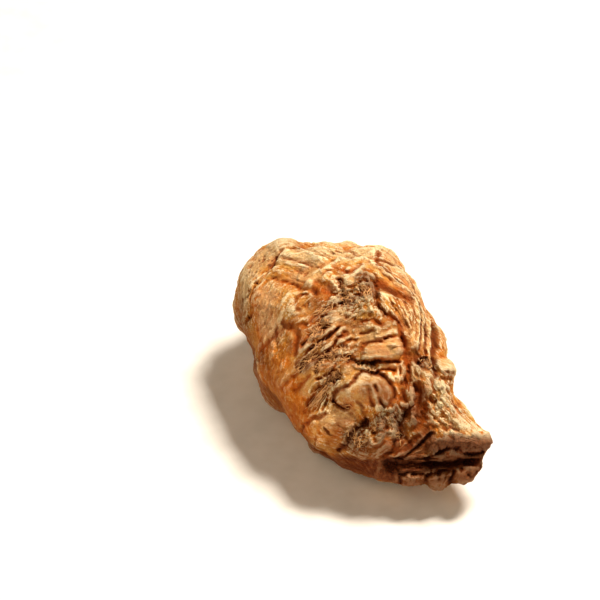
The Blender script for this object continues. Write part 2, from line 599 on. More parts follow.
# The valley that parts the middle from the shoulder, and the one it runs on into, down to the tail.
VALLEYS = (
    crease(1.4, 1.1, (2.3, 13.6), (2.2, 11), (2.9, 9), (4.3, 7.6), (5.8, 6.6), (6.4, 4.8), (6.7, 3), rust=1,
        brown=0.15),
    crease(1.1, 0.9, (6.6, 4), (6.9, 2), (7.1, 0), (7.2, -1.5), (6.9, -3.2), rust=0.8, brown=0.1),
    crease(0.45, 0.5, (2, 14.7), (2.4, 14.2), (2.4, 13.2), (2.3, 12), (2.2, 11), (2.4, 10), (3, 9.1),
        (3.5, 8.2), (4, 7.6), rust=1, brown=0.6),
    hollow(0.9, 0.3, (3, 8.8), (3.7, 7.8), rust=1, brown=0.5),
    crease(1.1, 0.8, (8.4, -3.8), (8.5, -5.4), (8.1, -6.6), (7, -7.4), rust=0.9, brown=0.3),
    swell(1.1, 0.9, (7.8, -8.4), (7.9, -9.6), orange=0.5),
    tint(1.5, (6.8, -7.4), (6.2, -9.6), rust=0.9, brown=0.3),
    crease(1.4, 1, (6.9, -8.2), (6.5, -9.2), (6.2, -10.4), (6, -12), (4.8, -14), (3.4, -15), rust=0.8,
        brown=0.6),
    crease(0.5, 0.6, (8.2, -4), (8.5, -5.2), (8.2, -6.4), (7.2, -7.3), (6.4, -8.4), (6, -10.2),
        (6.1, -11.4), (5.4, -12.6), (4.4, -14), (3.2, -15), stain=0.4),
    tint(1.7, (6.4, -8.8), (6.1, -10.4), (5.9, -12), (4.8, -14), (3.8, -15.2), brown=0.7),
    crest(0.7, 0.6, (8, -0.3), (8, -1.5), (8.4, -2.8), cream=0.4),
    crest(0.7, 0.6, (8.5, -0.8), (8.9, -1.8), (9, -2.8), cream=0.3),
    crease(0.4, 0.6, (7.6, 0.4), (7.5, -1.2), (7.7, -2.8), (7.4, -4.2), rust=0.9, brown=0.3),
    roll(0.9, 0.8, (7.3, -4.6), (8, -5), (7.9, -6), (7.4, -6.8), cream=0.2),
    hollow(0.8, 0.5, (6.6, -4.6), (6.4, -5.8), rust=1, brown=0.4), roll(0.7, 0.5, (6.6, -6.6), (6.8, -7.4)),
)

# The left of the body: a fold arched like an ear over a hollow, and a diagonal fold below it.
LEFT_SIDE = (
    swell(2.9, 0.5, (-11.4, 9.4)),
    crest(1.1, 0.44, (-13.2, 7.8), (-13.6, 8.8), (-13, 9.8), (-11.8, 10.9), (-10.6, 11.6), (-9.6, 11.8),
        (-8.6, 11.2), cream=0.15),
    crease(0.6, 0.5, (-9.2, 11.2), (-10.5, 10.8), (-10.8, 9.8), (-10.7, 8.9), (-10.2, 8.5), rust=1,
        brown=0.4),
    crest(0.7, 0.33, (-11.3, 7.8), (-10.4, 8.1), (-9.4, 8.4), (-8.6, 9), (-8.5, 9.8), cream=0.3),
    crease(0.5, 0.4, (-10.3, 9.4), (-9.3, 9.1), (-8.9, 9.7), rust=0.8, brown=0.2),
    swell(1.4, 0.22, (-10.2, 7.2), (-9.2, 7.4)), hollow(0.3, 0.17, (-10.1, 7.5), stain=0.4),
    crease(1, 0.5, (-12, 6.3), (-11, 6), (-9.4, 6.1), rust=0.9, brown=0.2),
    hollow(0.9, 0.4, (-12.9, 6.6), (-12.3, 5.9), rust=1, brown=0.3),
    hollow(0.95, 0.55, (-11.5, 5.8), (-10.9, 4.8), (-10.8, 3.6), (-11, 2.4), (-11, 1.6), rust=1,
        brown=0.35),
    swell(1.6, 0.2, (-13.4, 3.4)),
    crest(1.2, 0.3, (-13.5, 7.2), (-14.5, 5.9), (-15.3, 4.9), (-16.1, 3.9), (-16.9, 2.7)),
    crease(1, 0.39, (-14.2, 5.2), (-14.8, 4), (-15.8, 2.9), (-16.7, 1.9), rust=0.9),
    crease(0.8, 0.22, (-15, 8), (-16, 6.6), (-17.6, 5.4), rust=0.4), swell(1.6, 0.28, (-14.8, 1.4)),
    swell(1.3, 0.22, (-13.2, -0.4)), swell(1.5, 0.22, (-16.9, 6.6)), swell(1.6, 0.22, (-15.2, 9.6)),
    swell(1.4, 0.19, (-17, 10.6)), swell(1.4, 0.17, (-14.6, 12.2)),
    crest(1, 0.28, (-17, -0.1), (-15.8, -0.9), (-15.2, -1.8)),
    crest(1, 0.33, (-11.6, -1.2), (-12.7, -2.4), (-13.6, -3.8), cream=0.2),
    crease(0.8, 0.44, (-10.8, -1.7), (-11.7, -2.4), (-12.4, -3.3), (-13.2, -4.2), rust=0.7),
    swell(1.2, 0.28, (-10.2, -2.2), (-11.4, -3.4), (-12.4, -4.6)),
    crease(0.8, 0.44, (-8.8, -2.3), (-9.6, -3), (-10.4, -3.6), (-11.2, -4.6), rust=0.7),
    swell(1.3, 0.33, (-8.2, -2.4), (-9.2, -3.4), (-9.8, -4.6), cream=0.25), swell(1.4, 0.22, (-10.2, -5.4)),
    swell(1.6, 0.17, (-12.6, -6.2)), hollow(1.3, 0.22, (-11.4, -7.4)),
    hollow(1.4, 0.22, (-9.6, -7.8), rust=0.7),
)

# The hairy creases that slant down the middle to the left, and the smooth strips between them.
GROOVES = (
    hollow(2, 0.77, (-3.2, 11.2), (-1.4, 11.4), (0.2, 11.6), stain=0.45),
    crease(0.9, 1.15, (-3.9, 13.4), (-3.3, 12.4), (-3.3, 11), (-3.3, 10), (-2.4, 9.6), stain=1),
    crease(0.6, 0.67, (-2.6, 10.2), (-1.8, 10.2), (-1, 11.2), (-0.2, 11.3), stain=0.9),
    crease(0.5, 0.58, (-0.6, 12.6), (-0.1, 11.9), (0.4, 11.3), stain=0.9),
    crest(0.6, 0.58, (-8.9, 6.1), (-8.2, 7.2), (-7.4, 8.3), (-6.6, 9.2), cream=0.3),
    crease(0.6, 0.77, (-8.6, 6.6), (-7.9, 7.7), (-7.2, 8.5), (-5.8, 8.8), (-4.9, 9.2), stain=0.8),
    crease(0.5, 0.67, (-7, 7.6), (-6.2, 7.7), (-5.5, 8.3), (-4.9, 8.6), stain=0.95),
    hollow(1, 0.48, (-7.3, 6.6), (-6.6, 6.2), stain=0.4),
    crease(0.6, 0.77, (-7.9, 5.4), (-7.2, 5.5), (-6.2, 5.9), (-5.5, 6.2), stain=0.9),
    crease(0.6, 0.86, (-9.9, 2.7), (-9, 3.8), (-8.4, 4.6), (-7.6, 4.8), (-6.7, 5), stain=0.9),
    swell(0.7, 0.5, (-8.7, 3.8), (-7.2, 4.5), (-5.9, 5.1), (-4.6, 5.7), cream=0.45),
    crease(0.6, 1.15, (-3.9, 5.5), (-5.2, 4.8), (-6.4, 3.7), (-7.3, 2.9), (-8.4, 2.2), stain=1),
    swell(0.8, 0.38, (-10.1, 2.2), (-8.9, 2.8), cream=0.12),
    roll(0.45, 0.38, (-7.6, 2.4), (-6.9, 3.1), (-6.2, 3.5), cream=0.5),
    roll(0.45, 0.38, (-6.6, 2), (-5.8, 2.7), (-5.2, 3.3), cream=0.5),
    crease(0.5, 0.67, (-8.8, 2), (-9.4, 1.4), (-10.2, 0.6), (-11, -0.4), rust=0.9, stain=0.3),
    crest(0.5, 0.38, (-9.4, 1.2), (-10.4, 0.4), (-11.3, -0.6), cream=0.4),
    crease(0.7, 0.86, (-7.6, 1.1), (-8.8, 0.8), (-9.6, 0.1), (-10.1, -0.8), stain=1),
    crease(0.6, 0.96, (-2.8, 5), (-3.8, 4.1), (-4.8, 3.1), (-5.6, 2.3), (-6.4, 1.5), rust=1, stain=0.4),
    crease(0.5, 0.67, (-2.8, 2.9), (-3.8, 2.7), (-4.8, 2.1), (-5.2, 1.4), stain=0.85),
    crease(0.6, 0.86, (-2.2, 0.9), (-3.8, 1.1), (-5.4, 1), (-6.6, 0.7), (-7.3, -0.2), (-7.7, -1.4),
        stain=0.9),
    swell(1.1, 0.5, (-6.6, -0.6), (-5, -0.5), orange=0.8),
    crest(0.5, 0.3, (-6.9, -0.4), (-5.6, 0), (-4.4, 0), cream=0.6),
    swell(1.1, 0.45, (-8.5, -0.6), (-9.4, -1.4), cream=0.3),
    swell(0.9, 0.3, (-4.6, 1.4), (-3.4, 1.3), cream=0.4), hollow(0.5, 0.67, (-10.2, -1.4), stain=0.9),
    roll(0.35, 0.38, (-6.8, -0.3), (-6.3, 0)),
    crease(0.6, 0.77, (-4.4, -0.2), (-4.9, -1.2), (-5.8, -1.9), (-7.2, -2.7), stain=0.6, rust=0.5),
    crest(0.5, 0.48, (-5.8, -2.1), (-7, -2.9), (-8.4, -3.8), (-8.9, -4.6), cream=0.3),
    hollow(1.3, 0.86, (-5, -2.6), (-4.2, -2), stain=0.6),
    crease(0.5, 0.67, (-3.7, -1.9), (-4.2, -2.6), (-5.2, -3.1), stain=1),
    crease(0.8, 0.96, (-5.2, -2.9), (-6.8, -3.8), (-7.8, -4.7), (-8.6, -5.8), (-9.2, -6.9), stain=0.6,
        rust=0.8),
    crease(0.4, 0.48, (-6.2, -3.8), (-7.3, -5.2), (-8.2, -6.6), (-8.8, -7.9), stain=0.4, rust=0.6),
    crease(0.4, 0.48, (-6, -4.9), (-6.9, -6.2), (-7.6, -7.6), stain=0.4, rust=0.6),
    crease(0.4, 0.48, (-5.6, -5.2), (-6.2, -6.6), (-6.6, -7.6), stain=0.5, rust=0.5),
    crease(0.4, 0.38, (-5, -5), (-5.4, -6.4), (-5.6, -7.4), stain=0.3),
    tint(2.2, (-3.4, 10.6), (-1.2, 11.6), (0.6, 11.4), stain=0.2),
    tint(2, (-6.4, -4.2), (-4.4, -2.2), (-3.2, -1.2), stain=0.2, brown=0.3),
)

# The middle: a pale patch, slanting rolls, and the knuckle bar with the slit under it.
MIDDLE = (
    swell(2.4, 0.61, (-3.2, 7.9), (-4.8, 7.2), cream=0.5),
    crease(0.5, 0.41, (-2.6, 9), (-2.2, 8.3), (-1.4, 8.4), stain=0.8),
    crease(0.5, 0.34, (-3.7, 8.1), (-2.6, 7.3), (-1.4, 7.2), stain=0.4),
    hollow(0.35, 0.34, (-1.35, 7.15), stain=0.9), hollow(0.35, 0.27, (-3.5, 8.05), stain=0.7),
    swell(1.4, 0.48, (0.7, 8.6), (2, 8.5), (2.6, 7.9)),
    crease(0.5, 0.34, (0.4, 9.4), (0.6, 8.6), (0.9, 7.6), stain=0.3),
    crease(0.4, 0.27, (1.9, 8.6), (2, 7.4)), crease(0.4, 0.27, (2.6, 8.2), (2.5, 7.2), rust=0.6),
    roll(0.35, 0.27, (0.3, 10.9), (0.6, 10.2), (1.1, 9.8)), roll(0.35, 0.27, (-0.9, 9.8), (-0.2, 9.6)),
    crease(0.8, 0.54, (0, 6.6), (1, 6.8), (2.2, 6.7), (3, 6.1), rust=1, stain=0.15),
    roll(0.85, 0.51, (-1.1, 5.3), (0, 5.9), (1.2, 6), (2.1, 5.7), cream=0.4),
    roll(0.7, 0.41, (-3.7, 4.9), (-2.6, 5.4), (-1.4, 6.1), cream=0.35),
    crease(0.45, 0.41, (-3.4, 4.2), (-2.4, 4.9), (-1.2, 5), (0.3, 4.8), (1.4, 5.3), (2.2, 5.4), stain=0.35),
    roll(0.8, 0.41, (-3.6, 3.8), (-2.4, 4.6), (-1.2, 4.5), cream=0.35),
    swell(1.3, 0.34, (-0.2, 4.2), (1.3, 4.3), cream=0.35),
    crease(0.4, 0.34, (-3.4, 3), (-2.4, 3.7), (-1.2, 3.8), stain=0.2, rust=0.5),
    roll(0.7, 0.34, (-3, 2.6), (-1.8, 3.2), (-0.9, 3.2), cream=0.3),
    swell(1, 0.27, (-2.4, 1.9), (-1.2, 2), cream=0.3),
    crease(0.4, 0.34, (-2, 2.6), (-1.4, 1.8), (-1.7, 1.2), rust=0.7),
    roll(0.7, 0.48, (2.3, 5.1), (3.4, 5.8), (4.4, 6.3), (5.2, 6.4), cream=0.35),
    crease(0.4, 0.41, (2.8, 5.1), (3.6, 5.3), (4.2, 5.5), rust=0.8),
    roll(0.75, 0.54, (2.2, 4.5), (3.6, 4.7), (4.5, 5.2), (5.4, 5.1), cream=0.45),
    crease(0.4, 0.27, (4.6, 5.7), (5.2, 5.6)),
    crease(0.5, 0.48, (5.6, 6.4), (5.9, 5.4), (5.9, 4.6), rust=0.5),
    flat(1.75, 1.35, (1.3, 1.7), (3.4, 1.75), (4.9, 1.9), cream=0.45, brown=0.4),
    flat(1, 0.45, (4.4, 3.2), (5.6, 3.2), cream=0.5, brown=0.15),
    crest(0.45, 0.2, (4, 3.85), (5.8, 3.9), (6.3, 2.8), (6.3, 1.4), cream=0.7),
    crest(0.4, 0.17, (0.6, 2.9), (2.4, 3), (4.2, 2.95), (4.9, 2.6), cream=0.5),
    crease(0.4, 0.2, (3.4, 2.6), (4.4, 2.5), (5.2, 2.2)), crease(0.4, 0.17, (2.2, 2.1), (2.4, 1.6)),
    crease(0.5, 0.48, (-0.4, 3.1), (0.9, 3.25), (2, 3.45), (2.9, 3.4), rust=0.8),
    hollow(0.35, 0.45, (3.5, 4), (3.9, 4.05), stain=0.7),
    crease(0.4, 0.48, (2.9, 3.4), (3.6, 4.1), (4.6, 4.2), (5.9, 4.2), rust=1, stain=0.3),
    crease(0.6, 0.34, (-0.3, 2.6), (0.1, 2), (0.2, 1.4), rust=0.9),
    crease(0.5, 1.4, (-1, 0.1), (0.6, 0.15), (1.6, 0.3), (2.4, 0.45), (3.6, 0.3), (5, 0.2), (5.9, 0.3),
        stain=1),
    hollow(0.55, 0.54, (1.4, 0.2), (2.8, 0.35), stain=1),
    roll(0.6, 0.41, (2.9, -0.6), (4.7, -0.5), cream=0.35),
    crease(0.45, 0.48, (2.3, -1.3), (3.2, -1.15), (4.9, -1.1), stain=0.5, rust=0.7),
    roll(0.4, 0.27, (3, -1.6), (4.8, -1.6), rust=0.4),
    roll(0.55, 0.41, (5.1, -0.2), (5.6, -0.7), (5.6, -1.5), (5.2, -2), cream=0.35),
    crease(0.35, 0.34, (5.9, -0.3), (6.1, -1.1), (5.9, -1.8), rust=0.8),
    roll(0.7, 0.54, (6.2, 0), (6.7, -0.8), (6.7, -1.7), (6.1, -2.4), (5.2, -2.6), (4.3, -2.3), cream=0.45),
    swell(1.2, 0.48, (-2.5, -0.9), cream=0.6), roll(0.45, 0.27, (-1, -0.6), (0, -0.7)),
    roll(0.4, 0.27, (0.6, -1), (1.4, -0.9)), hollow(0.7, 0.61, (-2.4, 0.3), (-1.5, 0.4), stain=1),
    hollow(0.45, 0.48, (1.4, -1.2), stain=0.9), hollow(0.4, 0.41, (2.4, -1.5), stain=0.9),
    hollow(0.4, 0.34, (-0.4, -1.2), stain=0.7), tint(1.2, (-1.2, -0.4), (1.4, -0.8), stain=0.4),
)

# The nose below the middle, and the two lumps under it.
NOSE_AND_LUMPS = (
    swell(4.4, 2.6, (-1.6, -5), (0.4, -4.4), (2.4, -4.6)),
    swell(1.8, 0.35, (-3.4, -5.2), (-2.2, -4.6), cream=0.15),
    tint(1, (-1.2, -2.8), (0.8, -2.2), (2.6, -2.6), (3.8, -3.8), cream=0.45),
    tint(3.8, (-2.6, -5.2), (0.4, -4.4), (2.4, -4.6), cream=0.2, brown=0.3),
    crease(0.6, 0.9, (-4.7, -6.1), (-4.6, -5), (-3.9, -4.3), (-2.4, -3.8), (-1.7, -3.1), (-1.2, -2.2),
        (-0.3, -1.6), (0.8, -1.5), (2, -1.7), (3, -1.9), (3.8, -2.6), (4.4, -3.6), (4.9, -4.8), (5, -5.8),
        brown=0.7, rust=0.9),
    crease(0.7, 0.91, (-4.9, -6.2), (-4.1, -6.8), (-3.3, -7.2), (-2.5, -7.2), (-1.9, -6.7), stain=0.9),
    roll(0.35, 0.35, (-2.8, -6.85)), roll(0.25, 0.28, (-3.5, -6.8)),
    crease(0.5, 0.85, (1.9, -3.6), (2.4, -4.6), (2.8, -5.4), (3, -6.2), (3.4, -6.8), rust=1, brown=0.85),
    crease(0.6, 0.5, (0.9, -4.1), (1.1, -5.2), (1.4, -6.2), (1.6, -6.8), rust=0.8, brown=0.5),
    tint(1.4, (2.2, -4.6), (2.6, -6.4), brown=0.3, rust=0.3),
    tint(1.2, (3.8, -4.6), (4, -6.2), rust=0.5, brown=0.4),
    crease(0.4, 0.5, (-0.8, -6.1), (-0.2, -6.8), (0, -7.7), (0.5, -8.4), (0.9, -9.1), brown=0.7, rust=0.9),
    swell(1.2, 0.35, (0.8, -7.2), (2, -7.4)), hollow(0.6, 0.35, (-1.4, -7.6), (-2, -8.2), rust=0.5),
    swell(4.6, 2, (-6.4, -11), (-3.4, -10.4)),
    crest(0.6, 0.35, (-9, -9), (-7.6, -8.3), (-6.2, -7.9)),
    crease(0.6, 0.56, (-9.8, -11.4), (-9.7, -10.4), (-9, -9.6), (-7.4, -8.8), (-6, -8.3), stain=0.5,
        rust=0.5),
    crease(0.8, 0.98, (0.6, -9.4), (-0.4, -10.2), (-1.4, -10.8), (-1.9, -11.6), (-2.4, -12.8),
        (-3.1, -13.6), (-4.2, -14.3), brown=0.9, stain=0.3),
    crease(0.35, 0.5, (-5.9, -10.2), (-5.6, -10.9), (-5, -11.4), (-4.3, -11.5), brown=0.8, rust=0.6),
    crease(0.4, 0.45, (-7.2, -11.8), (-7.5, -12.6), (-7.9, -13.5), rust=0.8, brown=0.3),
    tint(1.2, (-9.2, -12.8), (-8.2, -14.2), (-6.2, -15.2), (-3.4, -16.2), brown=0.5),
    swell(0.9, 0.21, (-4.8, -10.6)), hollow(0.45, 0.28, (-3.6, -9.8), stain=0.3),
    hollow(0.5, 0.24, (-7.2, -11.6), stain=0.3), crease(0.6, 0.28, (-2.5, -10.4), (-2.9, -11), rust=0.6),
    hollow(0.7, 0.21, (-5.4, -12.8), rust=0.4), hollow(0.7, 0.21, (-6.7, -11), rust=0.3),
    swell(4, 1.5, (0.2, -13.6), (2.8, -13.2)),
    roll(0.9, 0.35, (-2.3, -14.6), (-1.2, -15), (0.4, -15.1), (2.2, -14.6), (4, -13.6)),
    crest(0.8, 0.95, (1.4, -12.8), (2.4, -12.8), (3.1, -12), (3.9, -11.1), (4.8, -11.2), (5.5, -12),
        (5.6, -12.8), cream=0.7),
    hollow(1.3, 0.6, (-1.3, -12.3), (-0.1, -11.7), rust=0.8, brown=0.45),
    hollow(0.5, 0.4, (-1.7, -12.9), stain=0.5),
    *(roll(0.28, 0.4, *strand) for strand in (((-1.9, -11), (-2, -12), (-1.6, -13)), ((-1.1, -10.8),
        (-0.9, -11.7), (-1.2, -12.7)), ((-0.4, -11), (-0.1, -11.9), (-0.4, -13)), ((0.4, -10.8),
        (0.6, -11.8), (0.2, -12.8)))),
    hollow(0.4, 0.3, (-0.2, -11), stain=0.4), hollow(0.35, 0.35, (-0.6, -13.9), stain=0.6),
    roll(0.5, 0.35, (-0.3, -13.5)), roll(0.4, 0.28, (0.3, -14), (0.9, -14.2)),
    roll(0.45, 0.28, (-1.9, -13.8)), roll(0.6, 0.28, (-0.4, -14.7), (0.4, -14.6)),
    roll(0.3, 0.24, (1.7, -14.4)), roll(0.4, 0.28, (1.3, -13.6)),
    roll(0.6, 0.35, (2.3, -11.5), (2.9, -11.5)), roll(0.5, 0.28, (0.9, -11.9), (1.3, -12.3)),
    hollow(0.5, 0.45, (1.4, -10.6), (1.6, -11.1), stain=0.6), hollow(0.5, 0.4, (2.2, -9.6), stain=0.4),
    hollow(0.4, 0.45, (3.8, -10.4), (4.3, -10.4), stain=0.6, rust=0.8),
    swell(1.3, 0.3, (4.2, -12.6), (4.7, -13.3), orange=1), crest(0.4, 0.35, (2.9, -6.9), (3.6, -7.4)),
    roll(0.5, 0.42, (4.4, -7.5), cream=0.3),
    roll(0.5, 0.49, (5.2, -7), (5.8, -7.6), (6.1, -8.5), cream=0.3),
    crest(0.45, 0.42, (3.1, -8), (3.5, -8.6), (4.1, -9.1), cream=0.3),
    crest(0.45, 0.49, (4.4, -8.7), (4.9, -9.2), (5.3, -10.2), cream=0.4),
    crest(0.45, 0.42, (4.4, -10.4), (5, -11), (5.5, -11.8), cream=0.4), roll(0.5, 0.35, (3.4, -9.9)),
    roll(0.5, 0.28, (2.7, -10.4)), hollow(0.5, 0.49, (3, -7.9), stain=0.7, rust=0.8),
    hollow(0.5, 0.42, (4.5, -6.1), (4, -6.9), rust=1), hollow(0.4, 0.42, (5.3, -8.8), stain=0.8),
)

# The right flank: a knuckle on the outline, and a beaded ridge that runs down to the tail.
RIGHT_FLANK = (
    flat(1.9, 0.9, (12.9, -0.6), (14.2, -0.8), cream=0.5, brown=0.15),
    crease(0.4, 0.45, (12.9, -1.6), (14, -1.7), (15.4, -1.75), stain=0.5, brown=0.6),
    hollow(0.7, 0.4, (13, -2.7), (14.4, -2.6), rust=0.9),
    crest(1.2, 0.83, (8.9, -0.8), (9.6, -1.6), (10.4, -2.1), (11.1, -2.3), (11.8, -3.1), (12.6, -4.2),
        (13.4, -5.6), cream=0.5),
    crest(0.7, 0.52, (10.5, -0.8), (11.1, -1.3), (11.7, -2.1), (12.2, -2.9), cream=0.3),
    swell(2.1, 0.9, (11.4, -3.4), (12.8, -5.4), (13.6, -7.6), (15, -9.4), (17.4, -11.2)),
    swell(1.4, 0.52, (10, -3), (10.2, -4.6)),
    hollow(1.8, 0.83, (9, -4.6), (9.4, -6.6), (9.8, -8.4), rust=1, stain=0.15),
    crease(0.5, 0.35, (10.7, -5.2), (11, -6), (12, -6.1), stain=0.2, rust=0.7),
    crease(0.5, 0.45, (9, -3.4), (9.3, -5), (9, -6.6), (8.9, -8.4), rust=0.8, brown=0.5),
    crease(0.4, 0.4, (10, -4.6), (10.3, -6.2), (10, -8), (10.3, -9.4), rust=1, brown=0.2),
    crest(0.7, 0.4, (9.7, -3.2), (9.9, -4.8), (9.6, -6.4)),
    crest(0.6, 0.35, (10.5, -6.6), (10.6, -8), (10.9, -9.2)),
    crease(0.6, 0.45, (10.9, -2.9), (11.3, -3.8), (11.5, -4.6), rust=0.8),
    crest(0.6, 0.38, (14.7, -4.8), (15.6, -6.2), (16.3, -7.4), cream=0.5),
    crest(0.6, 0.38, (14.9, -9.2), (15.6, -10.2), (16.8, -11.2), cream=0.4),
    crest(0.5, 0.3, (16.4, -9), (17, -10.2), (18.2, -11.1)),
    crease(0.5, 0.38, (15.5, -9.4), (16.2, -10.4), (17.4, -11.2)),
    crease(0.5, 0.38, (16.9, -9.4), (17.8, -10.5), (19, -11.2)),
    hollow(0.4, 0.3, (14.2, -9.9), (13.9, -10.5), rust=1),
    *(crest(1.1 * radius, 0.4, (u - 0.45, v + 0.6), (u, v), (u + 0.45, v - 0.6), cream=0.4) for u, v,
        radius in ((12.5, -3.1, 0.5), (13.3, -3.6, 0.5), (12.6, -5, 0.45), (13.4, -4.6, 0.5),
        (13, -6.3, 0.6), (14.2, -5.6, 0.5), (12, -7.2, 0.5), (13.9, -6.8, 0.5), (12.9, -7.6, 0.5),
        (11.2, -7.6, 0.4), (14.6, -7.6, 0.55), (13.6, -8.6, 0.55), (12.4, -8.8, 0.5), (15.3, -8.4, 0.5),
        (14.4, -8.8, 0.4), (13.4, -9.9, 0.5), (12.2, -10, 0.45), (11.3, -9, 0.4), (15.6, -7.2, 0.45),
        (16.2, -8.6, 0.45), (11.4, -5.2, 0.45), (10.6, -6.6, 0.4), (14.9, -6.4, 0.4), (16.9, -9.2, 0.4),
        (12.3, -6.3, 0.35))),
)

# The tail: a grey upper lip over a long dark hollow, and the lumpy lower lip.
TAIL = (
    swell(1.9, 1.6, (11.6, -12.9), (14, -12.5), (17, -12.8), (20.2, -12.9)),
    tint(2, (11.2, -13.4), (13.6, -13.1), (17, -13.2), (20.6, -13.3), grey=1, brown=0.82),
    crest(0.5, 0.5, (13.6, -11.2), (15, -11.5), (16.2, -11.7), (17.6, -11.7), (19.2, -11.8), (20.4, -11.6),
        cream=0.8),
    crease(0.5, 0.4, (12, -11.6), (14.4, -12), (16, -12.3), (18, -12.4), (20, -12.4), brown=0.4),
    crest(0.35, 0.3, (13.8, -12.7), (15.4, -12.8), (17.2, -13), (19.6, -13.4), cream=0.35),
    crease(0.35, 0.35, (13.6, -13.2), (15.6, -13.2), (17.6, -13.5), (19.4, -13.9), brown=0.6),
    crest(0.35, 0.3, (12.5, -12.8), (12.9, -13.9), cream=0.2),
    crest(0.4, 0.35, (11.4, -12.5), (11.1, -13.6), (11.7, -14.6)),
    crease(0.5, 0.6, (12, -14.6), (13.2, -13.9), (14.6, -13.6), (15.8, -14.1), brown=1, stain=0.8),
    tint(1.3, (5.4, -15.9), (9.6, -15.9), (12.4, -15.6), brown=0.95, stain=0.5), swell(1, 0.4, (11.2, -14)),
    swell(1, 0.3, (13.1, -12.3)), crease(0.5, 0.5, (14.4, -11.8), (14.6, -12.9)),
    hollow(0.5, 0.4, (16.8, -13.5), stain=0.4), crease(0.5, 0.4, (18.3, -12.3), (18.8, -13)),
    crease(0.5, 0.5, (12.2, -12.8), (12.4, -13.5)), crease(0.5, 0.5, (20, -13), (20.2, -13.9)),
    crease(2.1, 2, (4.6, -16.4), (8.6, -16.6), (13.4, -16.4), (17.6, -15.9), brown=0.5),
    tint(3, (4, -16.4), (8.6, -16.7), (13.4, -16.4), (18.8, -15.8), rust=1),
    tint(2.6, (3.4, -16.4), (6, -16.9), (10, -16.8), (14, -16.2), (18.6, -15.6), brown=1, stain=0.5),
    crease(0.45, 0.8, (4.8, -15.5), (8, -15.6), (10.8, -15.3), (12.2, -14.6), (13.4, -14), (14.6, -13.7),
        (15.6, -14), (16.6, -14.6), (19.6, -14.6), stain=1),
    crease(0.4, 0.6, (10.4, -16.3), (12.6, -16.4), (15, -16.2), (17.2, -16), stain=1),
    crease(0.45, 0.7, (6.2, -17.9), (8.4, -18), (10.2, -18.2), (12, -18), (13.8, -17.5), stain=1),
    roll(0.3, 0.45, (9.8, -15.9), (12, -15.9), (15, -15.7), rust=0.6),
    roll(0.3, 0.35, (10.6, -15.2), (13.4, -15.1)),
    roll(0.3, 0.4, (4.6, -16.5), (7.4, -16.6), (10.4, -16.9)),
    roll(0.3, 0.4, (6.2, -17.3), (9, -17.4), (12.8, -17.1)),
    roll(0.35, 0.45, (16.4, -16.9), (18, -17), (19, -17.2)), roll(0.4, 0.4, (16.6, -15.4), (18.4, -15.2)),
    swell(1.1, 0.5, (14.4, -14.6), rust=0.8, brown=0.4),
    crest(0.8, 1, (4.6, -15.1), (6, -14.9), (7.2, -14.3), (8.3, -13.5), (9.2, -12.6), (10.2, -11.8),
        (11, -11.1), rust=0.5),
    crease(0.5, 0.8, (6.4, -15.3), (7.6, -14.5), (8.8, -13.7), (9.7, -12.7), (10.5, -12), (11.3, -11.4),
        stain=0.7),
    crease(0.6, 0.7, (7, -12.2), (7.6, -13.2), (7.4, -14), rust=0.8),
    swell(1.2, 0.5, (8.4, -11.4), (9.4, -11.4)),
    tint(1.6, (7, -13.6), (9.2, -11.6), (10.6, -9.8), rust=0.9),
    tint(2.1, (6.6, -14.2), (8.8, -13.2), (10.4, -11.6), brown=0.9),
    swell(1.7, 0.8, (8.3, -19.3), (9.2, -19.2)), swell(1.8, 0.9, (11.8, -19.4), (13, -19.4)),
    swell(1.7, 0.8, (15.8, -18.6), (16.6, -18.4)), swell(1.1, 0.7, (17.8, -17.4)),
    tint(2.9, (5.6, -19.2), (12.5, -19.2), (17.6, -17.9), rust=0.4, brown=0.92),
    tint(1.3, (3.6, -17.5), (6.4, -17.7), (9.6, -17.5), brown=1, stain=1),
    tint(1.2, (3.4, -16), (6.4, -15.9), (10, -15.8), brown=1, stain=1),
    crest(0.45, 0.4, (6.6, -18.6), (8.6, -18.5), (10.4, -18.8), (12.2, -18.6), (14.2, -18.2)),
    tint(2.4, (16.2, -18.6), (18.6, -17.6), brown=1),
    tint(5, (8, -20.6), (12.4, -20.8), (16.4, -20), brown=0.85),
    tint(1.5, (8.4, -15.1), (9.9, -13.8), (11, -12.4), brown=0.85, grey=0.5),
    crease(0.6, 0.8, (6.1, -18), (6.1, -19.8), stain=0.7), crease(0.6, 0.7, (10.3, -18.4), (10.3, -20.2)),
    crease(0.5, 0.6, (12.4, -18.2), (12.4, -19), stain=0.5),
    crease(0.6, 0.9, (14.7, -17.6), (14.5, -18.8), (14.2, -19.8), stain=0.6),
    crease(0.6, 0.8, (16.2, -17.4), (16.6, -17.8), (17.4, -18.2), stain=0.8),
    crest(0.8, 0.5, (3, -16.1), (2.7, -16.8), (2.4, -18.4)),
    tint(4.2, (-6, -16.2), (-2, -17.2), (2, -17.9), (4.6, -18.6), rust=0.8, brown=1),
)

